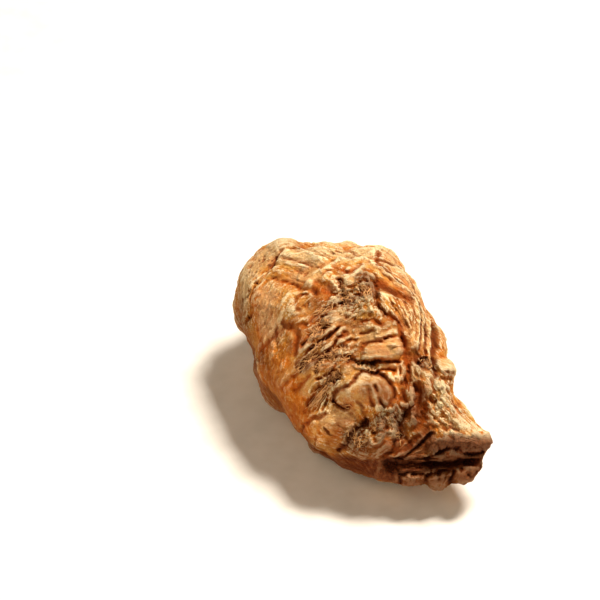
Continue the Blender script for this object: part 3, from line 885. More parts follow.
# Broad tones: where the skin kept its orange, where the sun and rubbing paled it, where it is sheltered.
TONES = (
    tint(6, (-16.4, 9), (-15.8, 2), (-13.2, -4.5), (-10.2, -8.5), orange=1, rust=0.22),
    tint(3, (-13, 13.6), (-9.6, 13), orange=0.6), tint(3.2, (-6.4, -11.4), (-3, -10.6), orange=0.6),
    tint(2.4, (-10.6, 3.6), (-11.2, 5.4), orange=1),
    tint(2.4, (9.2, -4.2), (9.6, -7), (9.8, -9.6), orange=1), tint(2.2, (4.4, 12.4), (6.6, 11), orange=0.7),
    tint(2.4, (7.2, 1.2), (7.6, -2.6), orange=0.5),
    tint(3.4, (-9.5, 18.2), (-4, 18.2), (1.2, 18.2), cream=0.9),
    tint(2.6, (4.8, 16.4), (8.3, 12), (10, 8), (10.6, 4), cream=0.55),
    tint(1.8, (4.6, 17.8), (6.6, 15.4), cream=0.7),
    tint(3.4, (-9, 19.6), (-4, 19.2), (2, 18.4), far=True, cream=0.8),
    tint(2.2, (7.4, 8.4), (8.4, 4.4), cream=0.35),
    tint(2.2, (12.2, -3.2), (13.8, -6.6), (16, -9.8), cream=0.35),
    tint(2.6, (-1.2, -14.4), (1.4, -14.8), (3.6, -13.8), brown=0.7),
    tint(3, (-18.2, 1.4), (-17.2, -2.6), (-15.4, -5.4), (-12.8, -8.2), (-10.8, -10.8), (-8.8, -14.4),
        rust=0.8, brown=0.76),
    tint(4.2, (-16.6, 0.6), (-15.6, -2.8), (-13.8, -5.6), (-11.4, -8.6), rust=0.5, brown=0.35),
    tint(7, (-14, -4), (-8, -12), (2, -16), far=True, rust=0.5, brown=0.35),
    tint(24, (-10, 4), (8, -2), far=True, orange=0.95, rust=0.4, brown=0.25),
    tint(9, (-19.4, 4), (-17.6, -2.4), (-13.8, -8), (-8.8, -14.4), (0, -17), far=True, rust=0.6,
        brown=0.72),
    tint(4, (-3.4, 3.6), (2.4, 4.8), (-2.6, 8), brown=0.22), tint(2.6, (-11.2, 9.6), brown=0.14, rust=0.2),
    tint(2, (-9.6, -0.6), (-6.8, 3.4), (-5.6, 7.6), brown=0.35),
    tint(1.6, (-6.4, -4.4), (-4.6, -2.2), brown=0.35), tint(1.6, (-1.2, -12), brown=0.4),
)

# Where the skin is darker and redder than around it, and where it is paler.
SHADES = (
    tint(1.9, (0.2, 14), (1.2, 13.2), (1.6, 11.4), rust=1, brown=0.7),
    tint(1.9, (3, 12.8), (5.6, 11.4), rust=1, brown=0.65),
    tint(1.8, (-3.2, 10.2), (-0.4, 10.8), rust=0.6, brown=0.35),
    tint(1.8, (-7, 9.4), (-4.6, 9.4), rust=0.6, brown=0.4),
    tint(2.4, (-9.4, 9.6), (-6.4, 9.2), rust=0.55, brown=0.2),
    tint(2.2, (-10.6, 8), (-7, 7.6), rust=0.5, brown=0.2),
    tint(2, (-9.2, 5.4), (-7.2, 5.8), rust=0.6, brown=0.25),
    tint(2.2, (-11.4, 2.8), (-8.2, 3.8), rust=0.8, brown=0.4),
    tint(1.7, (-7.4, 7.4), (-5.2, 8.2), rust=0.5, brown=0.35),
    tint(2, (-9.4, 0.2), (-5, 0.2), (-1.2, 0.6), rust=0.6, brown=0.3),
    tint(1.6, (8.9, 1.6), (9.2, 0.2), (10.8, 0), rust=0.8, brown=0.6),
    tint(1.4, (8.8, -1.6), (10.8, -3), rust=0.3, brown=0.2),
    tint(2.1, (0.8, -4.2), (3, -4.2), (3.4, -6), rust=0.5, brown=0.7),
    tint(1.4, (4.8, -6.2), rust=0.4, brown=0.35),
    tint(2.4, (8.9, -5), (8.2, -8), (8.8, -10.4), rust=1, brown=0.55),
    *(tint(half, *path, rust=0.7, brown=0.5) for half, *path in ((1.6, (7, -3.8)), (2.4, (-1, -14.2),
        (2, -14.4)), (2.6, (-8, 10), (-6.2, 7.8), (-7.2, 5.4)))),
    tint(2, (3, -9.6), (3.2, -11.4), rust=0.8, brown=0.68),
    tint(1.7, (5.2, -7.6), (5.6, -9.6), (5.8, -11.6), rust=0.8, brown=0.65),
    tint(1.9, (-1.6, -13.6), (2.4, -13.5), (6.4, -13.2), rust=0.8, brown=0.65),
    tint(2.4, (-3.2, -10.6), (-4.4, -12.4), (-5.4, -14.2), rust=0.5, brown=0.4),
    tint(2.4, (3.4, -14.2), (7, -14), rust=0.8, brown=0.75),
    tint(2.2, (-3.6, -15.8), (0, -16.4), (3.4, -16.4), (9, -15.9), rust=0.6, brown=1, stain=0.4),
    tint(1.6, (14.6, -15.6), (16.8, -15.6), rust=0.5, brown=0.9),
    tint(1.6, (4.8, -18), rust=0.6, brown=0.9),
    tint(2.6, (-15.4, 18.2), (-10.4, 17.2), (-7.6, 16.4), cream=0.8), tint(2, (-9.2, 15.8), cream=0.7),
    swell(2.2, 0.4, (-10.4, 15.6), (-8, 16.2)),
    *(tint(half, *path, cream=0.5) for half, *path in ((2, (-11, 14.2), (-7.4, 14.2)), (1.4, (-5.2, 12.2),
        (-3, 14.4)), (2.2, (-5.8, -9), (-2.6, -8.6)))),
    tint(1.6, (4, 12.4), (5.6, 11.6), rust=0.9, brown=0.85),
    tint(1.7, (-9.8, -0.6), (-8.2, 0.4), (-6.4, 1.2), rust=0.7, brown=0.7, stain=0.3),
    tint(1.8, (-0.8, 6.2), (-2.6, 6.4), rust=0.5, brown=0.5),
    tint(1.7, (-1, 2.2), (-1.2, 0), rust=0.5, brown=0.5),
    tint(1.7, (3, 6.2), (5.2, 6.2), rust=0.4, brown=0.4),
    tint(1.8, (7.2, -7.2), (8.8, -8.2), rust=0.8, brown=0.75, stain=0.5),
    tint(1.5, (8.6, 0.4), (9.6, -0.4), rust=0.8, brown=0.85),
    tint(2.2, (2.4, -16.2), (4.4, -16.5), rust=0.5, brown=1, stain=0.6),
    tint(1.8, (14.6, -15.4), (16.2, -16.2), rust=0.5, brown=0.95, stain=0.4),
    tint(3.4, (-15.4, 11), (-16.4, 7.4), (-14.6, 5.4), cream=0.55),
    tint(1.6, (1, 4.2), (3.2, 4.2), cream=0.6), tint(1.6, (-3, -4.6), cream=0.6),
    tint(1.6, (14.8, -10.2), cream=1),
    tint(2, (-18.8, 14.4), (-19.4, 12.4), (-19.6, 9.6), cream=1),
)

# The far side: long drying folds between the crown and the tail, and two rows of side-root scars.
FAR_SIDE = (
    crease(1.9, 1.3, (-4.6, 16), (2, 11), (6.2, 4.4), (10.4, -3.2), (14.6, -10), far=True, stain=0.35),
    crease(1.8, 1.2, (-10.4, 7), (-4.8, 3.6), (1.2, -3.2), (6.8, -10.4), (12.4, -15.8), far=True,
        stain=0.35),
    crease(1.8, 1.2, (-16.8, 3.6), (-13, -3.2), (-7.4, -9.2), (-0.6, -14.2), (6, -17.8), far=True,
        stain=0.3),
    swell(2, 0.9, (-8.4, 12), (-1.6, 7.6), (4.2, 0.6), (8.8, -7), far=True, cream=0.2),
    swell(2, 0.9, (-13.2, 2), (-7.8, -3.6), (-1.8, -9.8), (4.2, -14.6), far=True, cream=0.2),
    hollow(1.6, 0.9, (1.2, 14.8), (4, 13.2), far=True, stain=0.5),
    hollow(1.6, 0.9, (-2, 1.4), (-0.2, 1), far=True, stain=0.5),
    hollow(1.6, 0.9, (7.4, -0.2), (8.6, -1.6), far=True, stain=0.5),
)

FEATURES = (*CROWN, *TOP_FOLDS, *SHOULDER, *VALLEYS, *LEFT_SIDE, *GROOVES, *MIDDLE, *NOSE_AND_LUMPS,
            *RIGHT_FLANK, *TAIL, *TONES, *SHADES, *FAR_SIDE)


@dataclass(frozen=True)
class Swells:
    """Slow swells all over the root, each a sine along one direction."""

    waves: tuple[tuple[float, float, float, float, float], ...] = (  # height, waves along u, v and w, phase
        (0.32, 0.52, 0.31, -0.2, 0.4), (0.3, -0.28, 0.55, 0.33, 1.9), (0.26, 0.21, -0.36, 0.62, 3.7),
        (0.18, 0.81, 0.47, 0.29, 5.1), (0.16, -0.62, 0.38, 0.78, 2.6),
    )

    def height(self, points: Floats) -> Floats:
        """The sum of the waves at each point."""
        table = np.array(self.waves)
        return np.sin(points @ table[:, 1:4].T + table[:, 4]) @ table[:, 0]


# === Wrinkles ===

@dataclass(frozen=True)
class GrainMark:
    """Which way the wrinkles run at one place on the face's side, and what they are like there."""

    u: float
    v: float
    angle: float  # degrees from u towards v
    folds: float  # mm, the height of the widest
    wrinkles: float  # mm, the height of the next
    crinkles: float  # mm, the height of the finest
    stretch: float  # how far each one runs, in its own widths: under 1 it is a bead


GRAIN = tuple(GrainMark(*row) for row in (
    # the crown's cap
    (-14, 19.5, 35, 0.06, 0.14, 0.14, 0.9), (-16.5, 17.2, 52, 0.06, 0.16, 0.14, 0.9),
    (-18.5, 15, 65, 0.06, 0.16, 0.14, 0.9), (-19.8, 12, 80, 0.06, 0.16, 0.14, 0.9),
    (-20, 8.8, 95, 0.06, 0.16, 0.14, 0.9),
    # the top, in long folds that slant down to the right
    (-10.5, 18.8, -22, 0.28, 0.36, 0.16, 2.6), (-10, 17, -28, 0.3, 0.36, 0.16, 2.6),
    (-7, 18.2, -26, 0.3, 0.38, 0.18, 2.6), (-3.2, 18.6, -26, 0.3, 0.4, 0.18, 2.6),
    (0.5, 18.2, -12, 0.28, 0.36, 0.18, 2.2), (-12.4, 15.5, -28, 0.25, 0.3, 0.14, 2.2),
    (-9, 14.2, 60, 0.2, 0.26, 0.14, 1.6), (-13, 14, -20, 0.16, 0.16, 0.08, 1.6),
    (2.4, 18.2, -30, 0.3, 0.34, 0.18, 2), (3.6, 16.4, -30, 0.2, 0.3, 0.14, 1.6),
    # the outer shoulder and the rim fold
    (5.2, 17, -46, 0.14, 0.26, 0.18, 4), (7, 14.4, -58, 0.12, 0.22, 0.18, 4),
    (8.9, 11.2, -62, 0.1, 0.2, 0.18, 4), (10, 8.4, -68, 0.1, 0.2, 0.18, 4),
    (10.8, 5.4, -78, 0.1, 0.2, 0.18, 4), (11, 2.6, -88, 0.1, 0.2, 0.16, 3.2),
    (3, 15.6, -42, 0.1, 0.18, 0.18, 3), (5.6, 13.2, -46, 0.08, 0.16, 0.18, 3.4),
    (7.4, 11.3, -52, 0.08, 0.16, 0.18, 3.4), (9, 6.2, -80, 0.08, 0.18, 0.18, 3.4),
    # inside the rim: the sheltered hollow and the crumpled lobe
    (3.6, 12.6, -60, 0.08, 0.08, 0.06, 2.6), (6, 11.1, -34, 0.08, 0.1, 0.08, 2.6),
    (5.4, 9.4, -58, 0.08, 0.18, 0.18, 2.4), (7, 7.6, -66, 0.08, 0.18, 0.18, 2.4),
    (6.2, 5.4, -82, 0.08, 0.1, 0.08, 2.6), (8.1, 4.4, -75, 0.08, 0.14, 0.14, 2.4),
    (8.2, 1.4, -80, 0.08, 0.1, 0.06, 2), (12.9, 3.6, -70, 0.1, 0.16, 0.1, 2.4),
    (-7, 12.4, 72, 0.1, 0.12, 0.08, 1.8), (-5.2, 13.7, -30, 0.1, 0.18, 0.12, 1.8),
    (-2.4, 15.7, 58, 0.16, 0.26, 0.2, 1.2), (-1.4, 14.2, 42, 0.04, 0.1, 0.1, 1.8),
    # the hairy pit
    (-2.6, 11.2, 30, 0.25, 0.5, 0.36, 0.8), (-0.4, 12.2, -50, 0.25, 0.5, 0.36, 0.8),
    (0.4, 10.4, 25, 0.22, 0.46, 0.34, 0.8), (-1.6, 9.4, -20, 0.2, 0.42, 0.32, 0.9),
    (1.6, 8.4, -82, 0.18, 0.3, 0.2, 1.4), (1.2, 12.2, -88, 0.2, 0.3, 0.18, 1.4),
    (-0.8, 7.8, 35, 0.18, 0.36, 0.26, 1), (-4.2, 7.4, 10, 0.08, 0.16, 0.18, 1),
    # the left of the body, with low uneven bumps
    (-16.2, 11.6, 50, 0.25, 0.16, 0.1, 0.8), (-14.2, 12, 30, 0.25, 0.22, 0.16, 0.9),
    (-17.4, 7, 50, 0.26, 0.22, 0.16, 0.8), (-15.4, 8.4, 46, 0.26, 0.22, 0.17, 0.9),
    (-12.2, 9.4, 66, 0.12, 0.2, 0.16, 1.2), (-9.6, 7.3, 10, 0.1, 0.14, 0.12, 1.2),
    (-10, 9.8, 60, 0.14, 0.22, 0.14, 1.4), (-13, 3.8, 36, 0.26, 0.28, 0.2, 0.9),
    (-15.4, 1.2, 46, 0.3, 0.26, 0.18, 0.9), (-17, 3.6, 56, 0.26, 0.18, 0.1, 1),
    (-16.6, -2.2, 60, 0.26, 0.18, 0.1, 1.2), (-11, 3.6, 88, 0.04, 0.08, 0.06, 2),
    (-13.6, -1.4, 52, 0.26, 0.26, 0.16, 1.3), (-12.4, -6.4, 56, 0.26, 0.14, 0.1, 1.4),
    (-14.4, -4.6, 60, 0.26, 0.18, 0.1, 1.6), (-10.6, -8.6, 50, 0.26, 0.16, 0.1, 1.4),
    # the slanting creases down the middle: smooth strips, with hairy stretches between them
    (-6.6, 8.1, 42, 0.1, 0.26, 0.24, 1.4), (-7.8, 7.2, 50, 0.06, 0.12, 0.1, 2.4),
    (-7, 6, 26, 0.1, 0.28, 0.26, 1.6), (-6.8, 4.6, 28, 0.02, 0.06, 0.06, 3),
    (-4.9, 5.4, 26, 0.02, 0.06, 0.06, 3), (-8.8, 3.5, 48, 0.02, 0.07, 0.07, 3),
    (-9.5, 2.2, 42, 0.02, 0.07, 0.06, 3), (-6.2, 2.8, 34, 0.06, 0.18, 0.18, 1.8),
    (-4.7, 3.6, 40, 0.03, 0.08, 0.08, 2.4), (-3.9, 2.1, 18, 0.08, 0.28, 0.26, 1.5),
    (-9, 0.5, 46, 0.08, 0.26, 0.24, 2.4), (-7, 1.6, 38, 0.04, 0.14, 0.12, 2.4),
    (-5.6, 0.3, 16, 0.05, 0.18, 0.16, 1.6), (-6.2, -0.9, 22, 0.03, 0.08, 0.08, 1.8),
    (-10.9, 0.4, 48, 0.05, 0.1, 0.08, 2.6), (-8.6, -1, 46, 0.03, 0.07, 0.07, 2),
    (-10.6, -2.5, 42, 0.05, 0.09, 0.08, 2), (-8.9, -3.4, 42, 0.04, 0.08, 0.08, 2),
    (-12.5, -2.4, 48, 0.08, 0.1, 0.08, 2), (-4.6, -2.4, 30, 0.12, 0.36, 0.3, 1.2),
    (-6.8, -4.6, 50, 0.04, 0.2, 0.24, 3.6), (-8, -6.4, 54, 0.04, 0.16, 0.2, 3.6),
    (-5.8, -6.2, 70, 0.04, 0.18, 0.22, 3.2), (-10.4, -5.8, 52, 0.1, 0.1, 0.07, 1.4),
    # the middle and the knuckle
    (-2.6, 5.6, 28, 0.04, 0.12, 0.13, 1.4), (-2.2, 3.8, 26, 0.04, 0.13, 0.14, 1.4),
    (0.6, 4.4, 16, 0.04, 0.12, 0.12, 1.4), (0.8, 5.8, 12, 0.04, 0.12, 0.12, 1.6),
    (3.6, 5.2, 12, 0.04, 0.12, 0.12, 1.6), (1.2, 6.9, 5, 0.08, 0.16, 0.12, 1.6),
    (1.4, 2, 4, 0.02, 0.05, 0.05, 1.8), (3.2, 1.5, 2, 0.02, 0.04, 0.04, 1.8),
    (3.2, 2.5, 2, 0.02, 0.05, 0.05, 1.6), (5.2, 2.2, 2, 0.02, 0.05, 0.05, 1.6),
    (5.2, 1, 2, 0.02, 0.04, 0.04, 1.6), (5.2, 3.4, 2, 0.02, 0.06, 0.06, 1.6),
    (-1, 2.2, 30, 0.06, 0.2, 0.18, 1), (0.6, -0.8, 8, 0.1, 0.32, 0.3, 0.9),
    (3.8, -0.8, 2, 0.03, 0.08, 0.08, 1.6), (6, -1.2, -78, 0.05, 0.12, 0.1, 1.8),
    (-2.5, -0.9, 20, 0.03, 0.08, 0.08, 1),
    # the nose and the lumps
    (-3.2, -5.2, 30, 0.04, 0.06, 0.05, 1), (-0.4, -3.2, 12, 0.05, 0.07, 0.06, 1.2),
    (2.6, -3, -36, 0.05, 0.08, 0.07, 1.2), (1.6, -5.6, -86, 0.06, 0.07, 0.06, 1.8),
    (4, -5.2, -74, 0.06, 0.07, 0.06, 1.8), (-1.2, -6.2, -72, 0.1, 0.1, 0.08, 1.4),
    (-7.2, -10.4, 22, 0.2, 0.2, 0.09, 0.9), (-3, -9, 8, 0.18, 0.18, 0.09, 0.9),
    (-5.2, -12.6, -8, 0.22, 0.22, 0.1, 0.9), (0.8, -8.4, -60, 0.16, 0.26, 0.16, 1.2),
    (4.6, -8.4, -50, 0.14, 0.44, 0.32, 1), (5.4, -10.6, -60, 0.14, 0.42, 0.3, 1.1),
    (2, -10, -80, 0.16, 0.46, 0.34, 0.9), (-1, -12.2, 70, 0.16, 0.5, 0.36, 1),
    (2.6, -13.6, 28, 0.12, 0.16, 0.12, 1.4), (-0.8, -14.8, -4, 0.14, 0.28, 0.18, 1),
    (3.8, -12.4, 20, 0.1, 0.14, 0.12, 1.4),
    # the valleys down to the tail, and the right flank
    (7.6, -1.4, -88, 0.1, 0.26, 0.18, 2.8), (8.8, -1.2, -70, 0.1, 0.26, 0.18, 2.4),
    (10.2, -0.4, -55, 0.12, 0.36, 0.28, 1.1), (9.6, -4, -70, 0.12, 0.28, 0.2, 1.2),
    (9.2, -6.8, -70, 0.12, 0.28, 0.2, 1.2), (7.4, -6, -78, 0.12, 0.22, 0.16, 1.8),
    (14, -0.6, 2, 0.04, 0.1, 0.1, 1.4), (12.8, -4, -40, 0.14, 0.42, 0.32, 0.9),
    (13.2, -6.6, -35, 0.16, 0.46, 0.34, 0.8), (11.6, -7.6, -40, 0.16, 0.42, 0.32, 0.9),
    (15.2, -8.2, -40, 0.14, 0.42, 0.32, 1), (15.4, -5.8, -56, 0.06, 0.18, 0.18, 2.6),
    (13.2, -9.6, -30, 0.16, 0.42, 0.32, 0.8), (16.8, -10.2, -42, 0.1, 0.28, 0.22, 3),
    (10.8, -9.8, -30, 0.16, 0.28, 0.2, 1), (8.6, -11.6, -50, 0.1, 0.16, 0.14, 2.4),
    # the tail
    (12.6, -12.6, 70, 0.2, 0.4, 0.28, 0.9), (16.4, -12.6, -10, 0.16, 0.4, 0.28, 1.1),
    (19.6, -12.6, -50, 0.1, 0.26, 0.18, 1.2), (18, -13.9, 2, 0.12, 0.34, 0.24, 1.6),
    (7.4, -13.4, 42, 0.08, 0.16, 0.14, 3), (8, -16.4, 0, 0.06, 0.22, 0.22, 3.4),
    (14, -16, 0, 0.06, 0.22, 0.22, 3.4), (17.8, -16, 10, 0.08, 0.26, 0.22, 2.6),
    (8.2, -19.2, 88, 0.14, 0.22, 0.16, 1.2), (12.4, -19.4, 88, 0.14, 0.24, 0.16, 1.2),
    (16.2, -18.4, 70, 0.14, 0.22, 0.16, 1.4), (-1, -16.8, -70, 0.16, 0.2, 0.12, 1.6),
    (-5.4, -15, -50, 0.16, 0.2, 0.12, 1.4), (3, -17.6, 80, 0.14, 0.18, 0.12, 1.6),
))


@dataclass(frozen=True)
class Wrinkles:
    """Wrinkles that run along the way the skin shrank, in three sizes."""

    form: PlumpForm
    marks: tuple[GrainMark, ...] = GRAIN
    spacings: tuple[float, float, float] = (2.6, 1.25, 0.62)  # mm
    far_look: tuple[float, float, float, float] = (0.45, 0.42, 0.2, 2.2)  # three heights and the stretch
    far_edge: tuple[float, float] = (-0.15, 0.25)  # how the normals' w eases from the far side to the near
    reach: float = 1.15  # mm that one mark's say spreads over
    faint: float = 1e-9  # the say that each mark still has far away
    lively: tuple[float, float, float] = (1.0, 1.15, 1.35)  # how much higher than its mark says each size is
    samples: int = 11
    window: float = 0.9  # how far towards zero the samples' weights fall
    stretch_gain: float = 1.3  # makes up for the height that long streaks lose
    cut: float = 2.2  # standard deviations at which a streak has its full height
    power: float = 0.6  # under 1 makes the creases sharp
    sway: float = math.radians(20)  # how far the way they run strays
    sway_spacing: float = 2.4  # mm

    def lie(self, points: Floats, normals: Floats) -> tuple[Floats, Floats]:
        """Which way the wrinkles run at each point, how high they are and how far they stretch.

        On the face's side the marks are averaged with weights exp(-d^2 / 2 reach^2). Their angles are
        doubled first, so that opposite directions agree. On the far side wrinkles run along the root.

        Args:
            points: The plump form's points, in rows (u, v, w).
            normals: Its outward normals.

        Returns:
            Unit directions along the surface, and the three heights and the stretch at each point.
        """
        spots = np.array([(m.u, m.v) for m in self.marks])
        doubled = np.radians([2 * m.angle for m in self.marks])
        looks = np.array([(m.folds, m.wrinkles, m.crinkles, m.stretch) for m in self.marks])
        looks[:, :3] *= self.lively
        away = (points[:, :1] - spots[:, 0]) ** 2 + (points[:, 1:2] - spots[:, 1]) ** 2
        weight = np.exp(-away / (2 * self.reach ** 2)) + self.faint / (1 + away)
        weight /= weight.sum(axis=1, keepdims=True)
        angle = np.arctan2(weight @ np.sin(doubled), weight @ np.cos(doubled)) / 2
        angle += self.sway * lattice_noise(points / self.sway_spacing, Seed.SWAY)
        near = smoothstep(*self.far_edge, normals[:, 2])[:, None]
        along = np.array([*self.form.long_axis, self.form.lean])
        facing = np.stack([np.cos(angle), np.sin(angle), np.zeros(len(points))], axis=1)
        facing *= np.where(facing @ along < 0, -1.0, 1.0)[:, None]
        way = facing * near + along / np.linalg.norm(along) * (1 - near)
        way -= np.einsum("ij,ij->i", way, normals)[:, None] * normals
        return unit(way), (weight @ looks) * near + np.array(self.far_look) * (1 - near)

    def layer(self, points: Floats, way: Floats, stretch: Floats, spacing: float, seed: int) -> Floats:
        """One size of wrinkle, from sharp creases at minus the power to rounded tops at 1 less the power.

        Noise is averaged along the way that the wrinkles run, which stretches it into streaks. Where the
        streaks cross zero, the power of their size makes a sharp crease.

        Args:
            points: Where to work it out, in millimetres.
            way: Unit directions along the surface.
            stretch: How far each wrinkle runs, in spacings, to each side.
            spacing: Millimetres between wrinkles.
            seed: Chooses the noise.

        Returns:
            One height for each point.
        """
        steps = np.linspace(-1, 1, self.samples)
        weights = (1 + np.cos(math.pi * steps * self.window)) / 2
        streaks = np.zeros(len(points))
        for step, weight in zip(steps, weights):
            along = points + way * (step * stretch * spacing)[:, None]
            streaks += weight * lattice_noise(along / spacing, seed)
        streaks *= np.sqrt(1 + self.stretch_gain * stretch)
        return np.minimum(np.abs(streaks / (self.cut * streaks.std())), 1.0) ** self.power - self.power

    def height(self, points: Floats, normals: Floats) -> tuple[Floats, Floats, Floats]:
        """The three sizes of wrinkle together.

        Args:
            points: The plump form's points.
            normals: Its outward normals.

        Returns:
            Their height, the way that they run, and how high the finest are.
        """
        way, looks = self.lie(points, normals)
        layers = [self.layer(points, way, looks[:, 3], spacing, Seed.WRINKLES + i)
                  for i, spacing in enumerate(self.spacings)]
        return (looks[:, :3] * np.stack(layers, axis=1)).sum(axis=1), way, looks[:, 2]


# === Meshes ===

@dataclass(frozen=True)
class WrappedGrid:
    """Six square grids wrapped round a sphere, sharing the vertices along their edges."""

    cells: int = 128  # along each edge of a grid
    towards_face: float = 0.5  # how much the vertices crowd towards the face's side

    def build(self) -> tuple[Floats, Ints]:
        """The sphere's points and faces.

        A point of the cube (x, y, z) has each coordinate replaced by tan(pi x / 4), which evens the cells
        out. It is made a unit vector, shifted along z, and made one again.

        Returns:
            Unit rows (x, y, z), and rows of four vertex numbers, anticlockwise from outside.
        """
        n = self.cells
        i, j = np.meshgrid(np.arange(n + 1), np.arange(n + 1), indexing="ij")
        sheets = []
        for axis, end in itertools.product(range(3), (0, n)):
            lattice = np.zeros((n + 1, n + 1, 3), np.int64)
            lattice[..., axis] = end
            lattice[..., (axis + 1) % 3] = i if end else j
            lattice[..., (axis + 2) % 3] = j if end else i
            sheets.append(lattice)
        codes = (np.stack(sheets) * [1, n + 1, (n + 1) ** 2]).sum(axis=3)
        first, numbers = np.unique(codes, return_inverse=True)
        numbers = numbers.reshape(codes.shape)
        corners = (numbers[:, :-1, :-1], numbers[:, 1:, :-1], numbers[:, 1:, 1:], numbers[:, :-1, 1:])
        cube = np.stack([first % (n + 1), first // (n + 1) % (n + 1), first // (n + 1) ** 2], axis=1)
        sphere = unit(np.tan((cube / n * 2 - 1) * math.pi / 4))
        sphere[:, 2] += self.towards_face
        return unit(sphere), np.stack(corners, axis=3).reshape(-1, 4)


def vertex_normals(points: Floats, faces: Ints) -> Floats:
    """Outward normals at the vertices: the sum of the cross products of their faces' diagonals.

    Args:
        points: Rows (x, y, z).
        faces: Rows of four vertex numbers.

    Returns:
        A unit row for each vertex.
    """
    diagonals = np.cross(points[faces[:, 2]] - points[faces[:, 0]], points[faces[:, 3]] - points[faces[:, 1]])
    total = np.zeros_like(points)
    for corner, axis in itertools.product(range(4), range(3)):
        total[:, axis] += np.bincount(faces[:, corner], diagonals[:, axis], len(points))
    return unit(total)


def smoothed(values: Floats, faces: Ints, times: int) -> Floats:
    """Each vertex's value averaged with its neighbours', over and over.

    Args:
        values: A number, or a row of them, for each vertex.
        faces: Rows of four vertex numbers.
        times: How many rounds of averaging.

    Returns:
        The averaged values, of the same shape.
    """
    rows = values.reshape(len(values), -1).copy()
    starts = faces.ravel()
    ends = np.roll(faces, -1, axis=1).ravel()
    count = np.bincount(starts, minlength=len(rows))[:, None]
    for _ in range(times):
        around = [np.bincount(starts, rows[ends, k], len(rows)) for k in range(rows.shape[1])]
        rows = (rows + np.stack(around, axis=1) / count) / 2
    return rows.reshape(values.shape)


def mesh_object(name: str, points: Floats, faces: Ints, finish: bpy.types.Material) -> bpy.types.Object:
    """A smooth-shaded mesh object at the origin.

    Args:
        name: The object's name.
        points: Rows (x, y, z) in metres, in the part's frame.
        faces: Rows of four vertex numbers.
        finish: Its material.

    Returns:
        The object, linked to the scene.
    """
    mesh = bpy.data.meshes.new(name)
    mesh.vertices.add(len(points))
    mesh.vertices.foreach_set("co", points.astype(np.float32).ravel())
    mesh.loops.add(faces.size)
    mesh.loops.foreach_set("vertex_index", faces.astype(np.int32).ravel())
    mesh.polygons.add(len(faces))
    mesh.polygons.foreach_set("loop_start", np.arange(0, faces.size, 4, dtype=np.int32))
    mesh.polygons.foreach_set("use_smooth", np.ones(len(faces), bool))
    mesh.update(calc_edges=True)
    mesh.validate()
    mesh.materials.append(finish)
    made = bpy.data.objects.new(name, mesh)
    bpy.context.scene.collection.objects.link(made)
    return made


def root_piece(name: str, points: Floats, faces: Ints, finish: bpy.types.Material,
               marks: dict[str, Floats]) -> bpy.types.Object:
    """A mesh object that rides on the root's body and stands, with the others, for its CAD solid.

    Args:
        name: The piece's name.
        points: Rows (x, y, z) in metres, in the part's frame.
        faces: Rows of four vertex numbers.
        finish: Its material.
        marks: What the material reads: a number, or a row of three, for each vertex, by name.

    Returns:
        The piece.
    """
    piece = mesh_object(name, points, faces, finish)
    for mark, values in marks.items():
        kind, key = ("FLOAT", "value") if values.ndim == 1 else ("FLOAT_VECTOR", "vector")
        attribute = piece.data.attributes.new(mark, kind, "POINT")
        attribute.data.foreach_set(key, values.astype(np.float32).ravel())
    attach(piece, "root")
    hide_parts(NODE)
    return piece


# === The skin ===

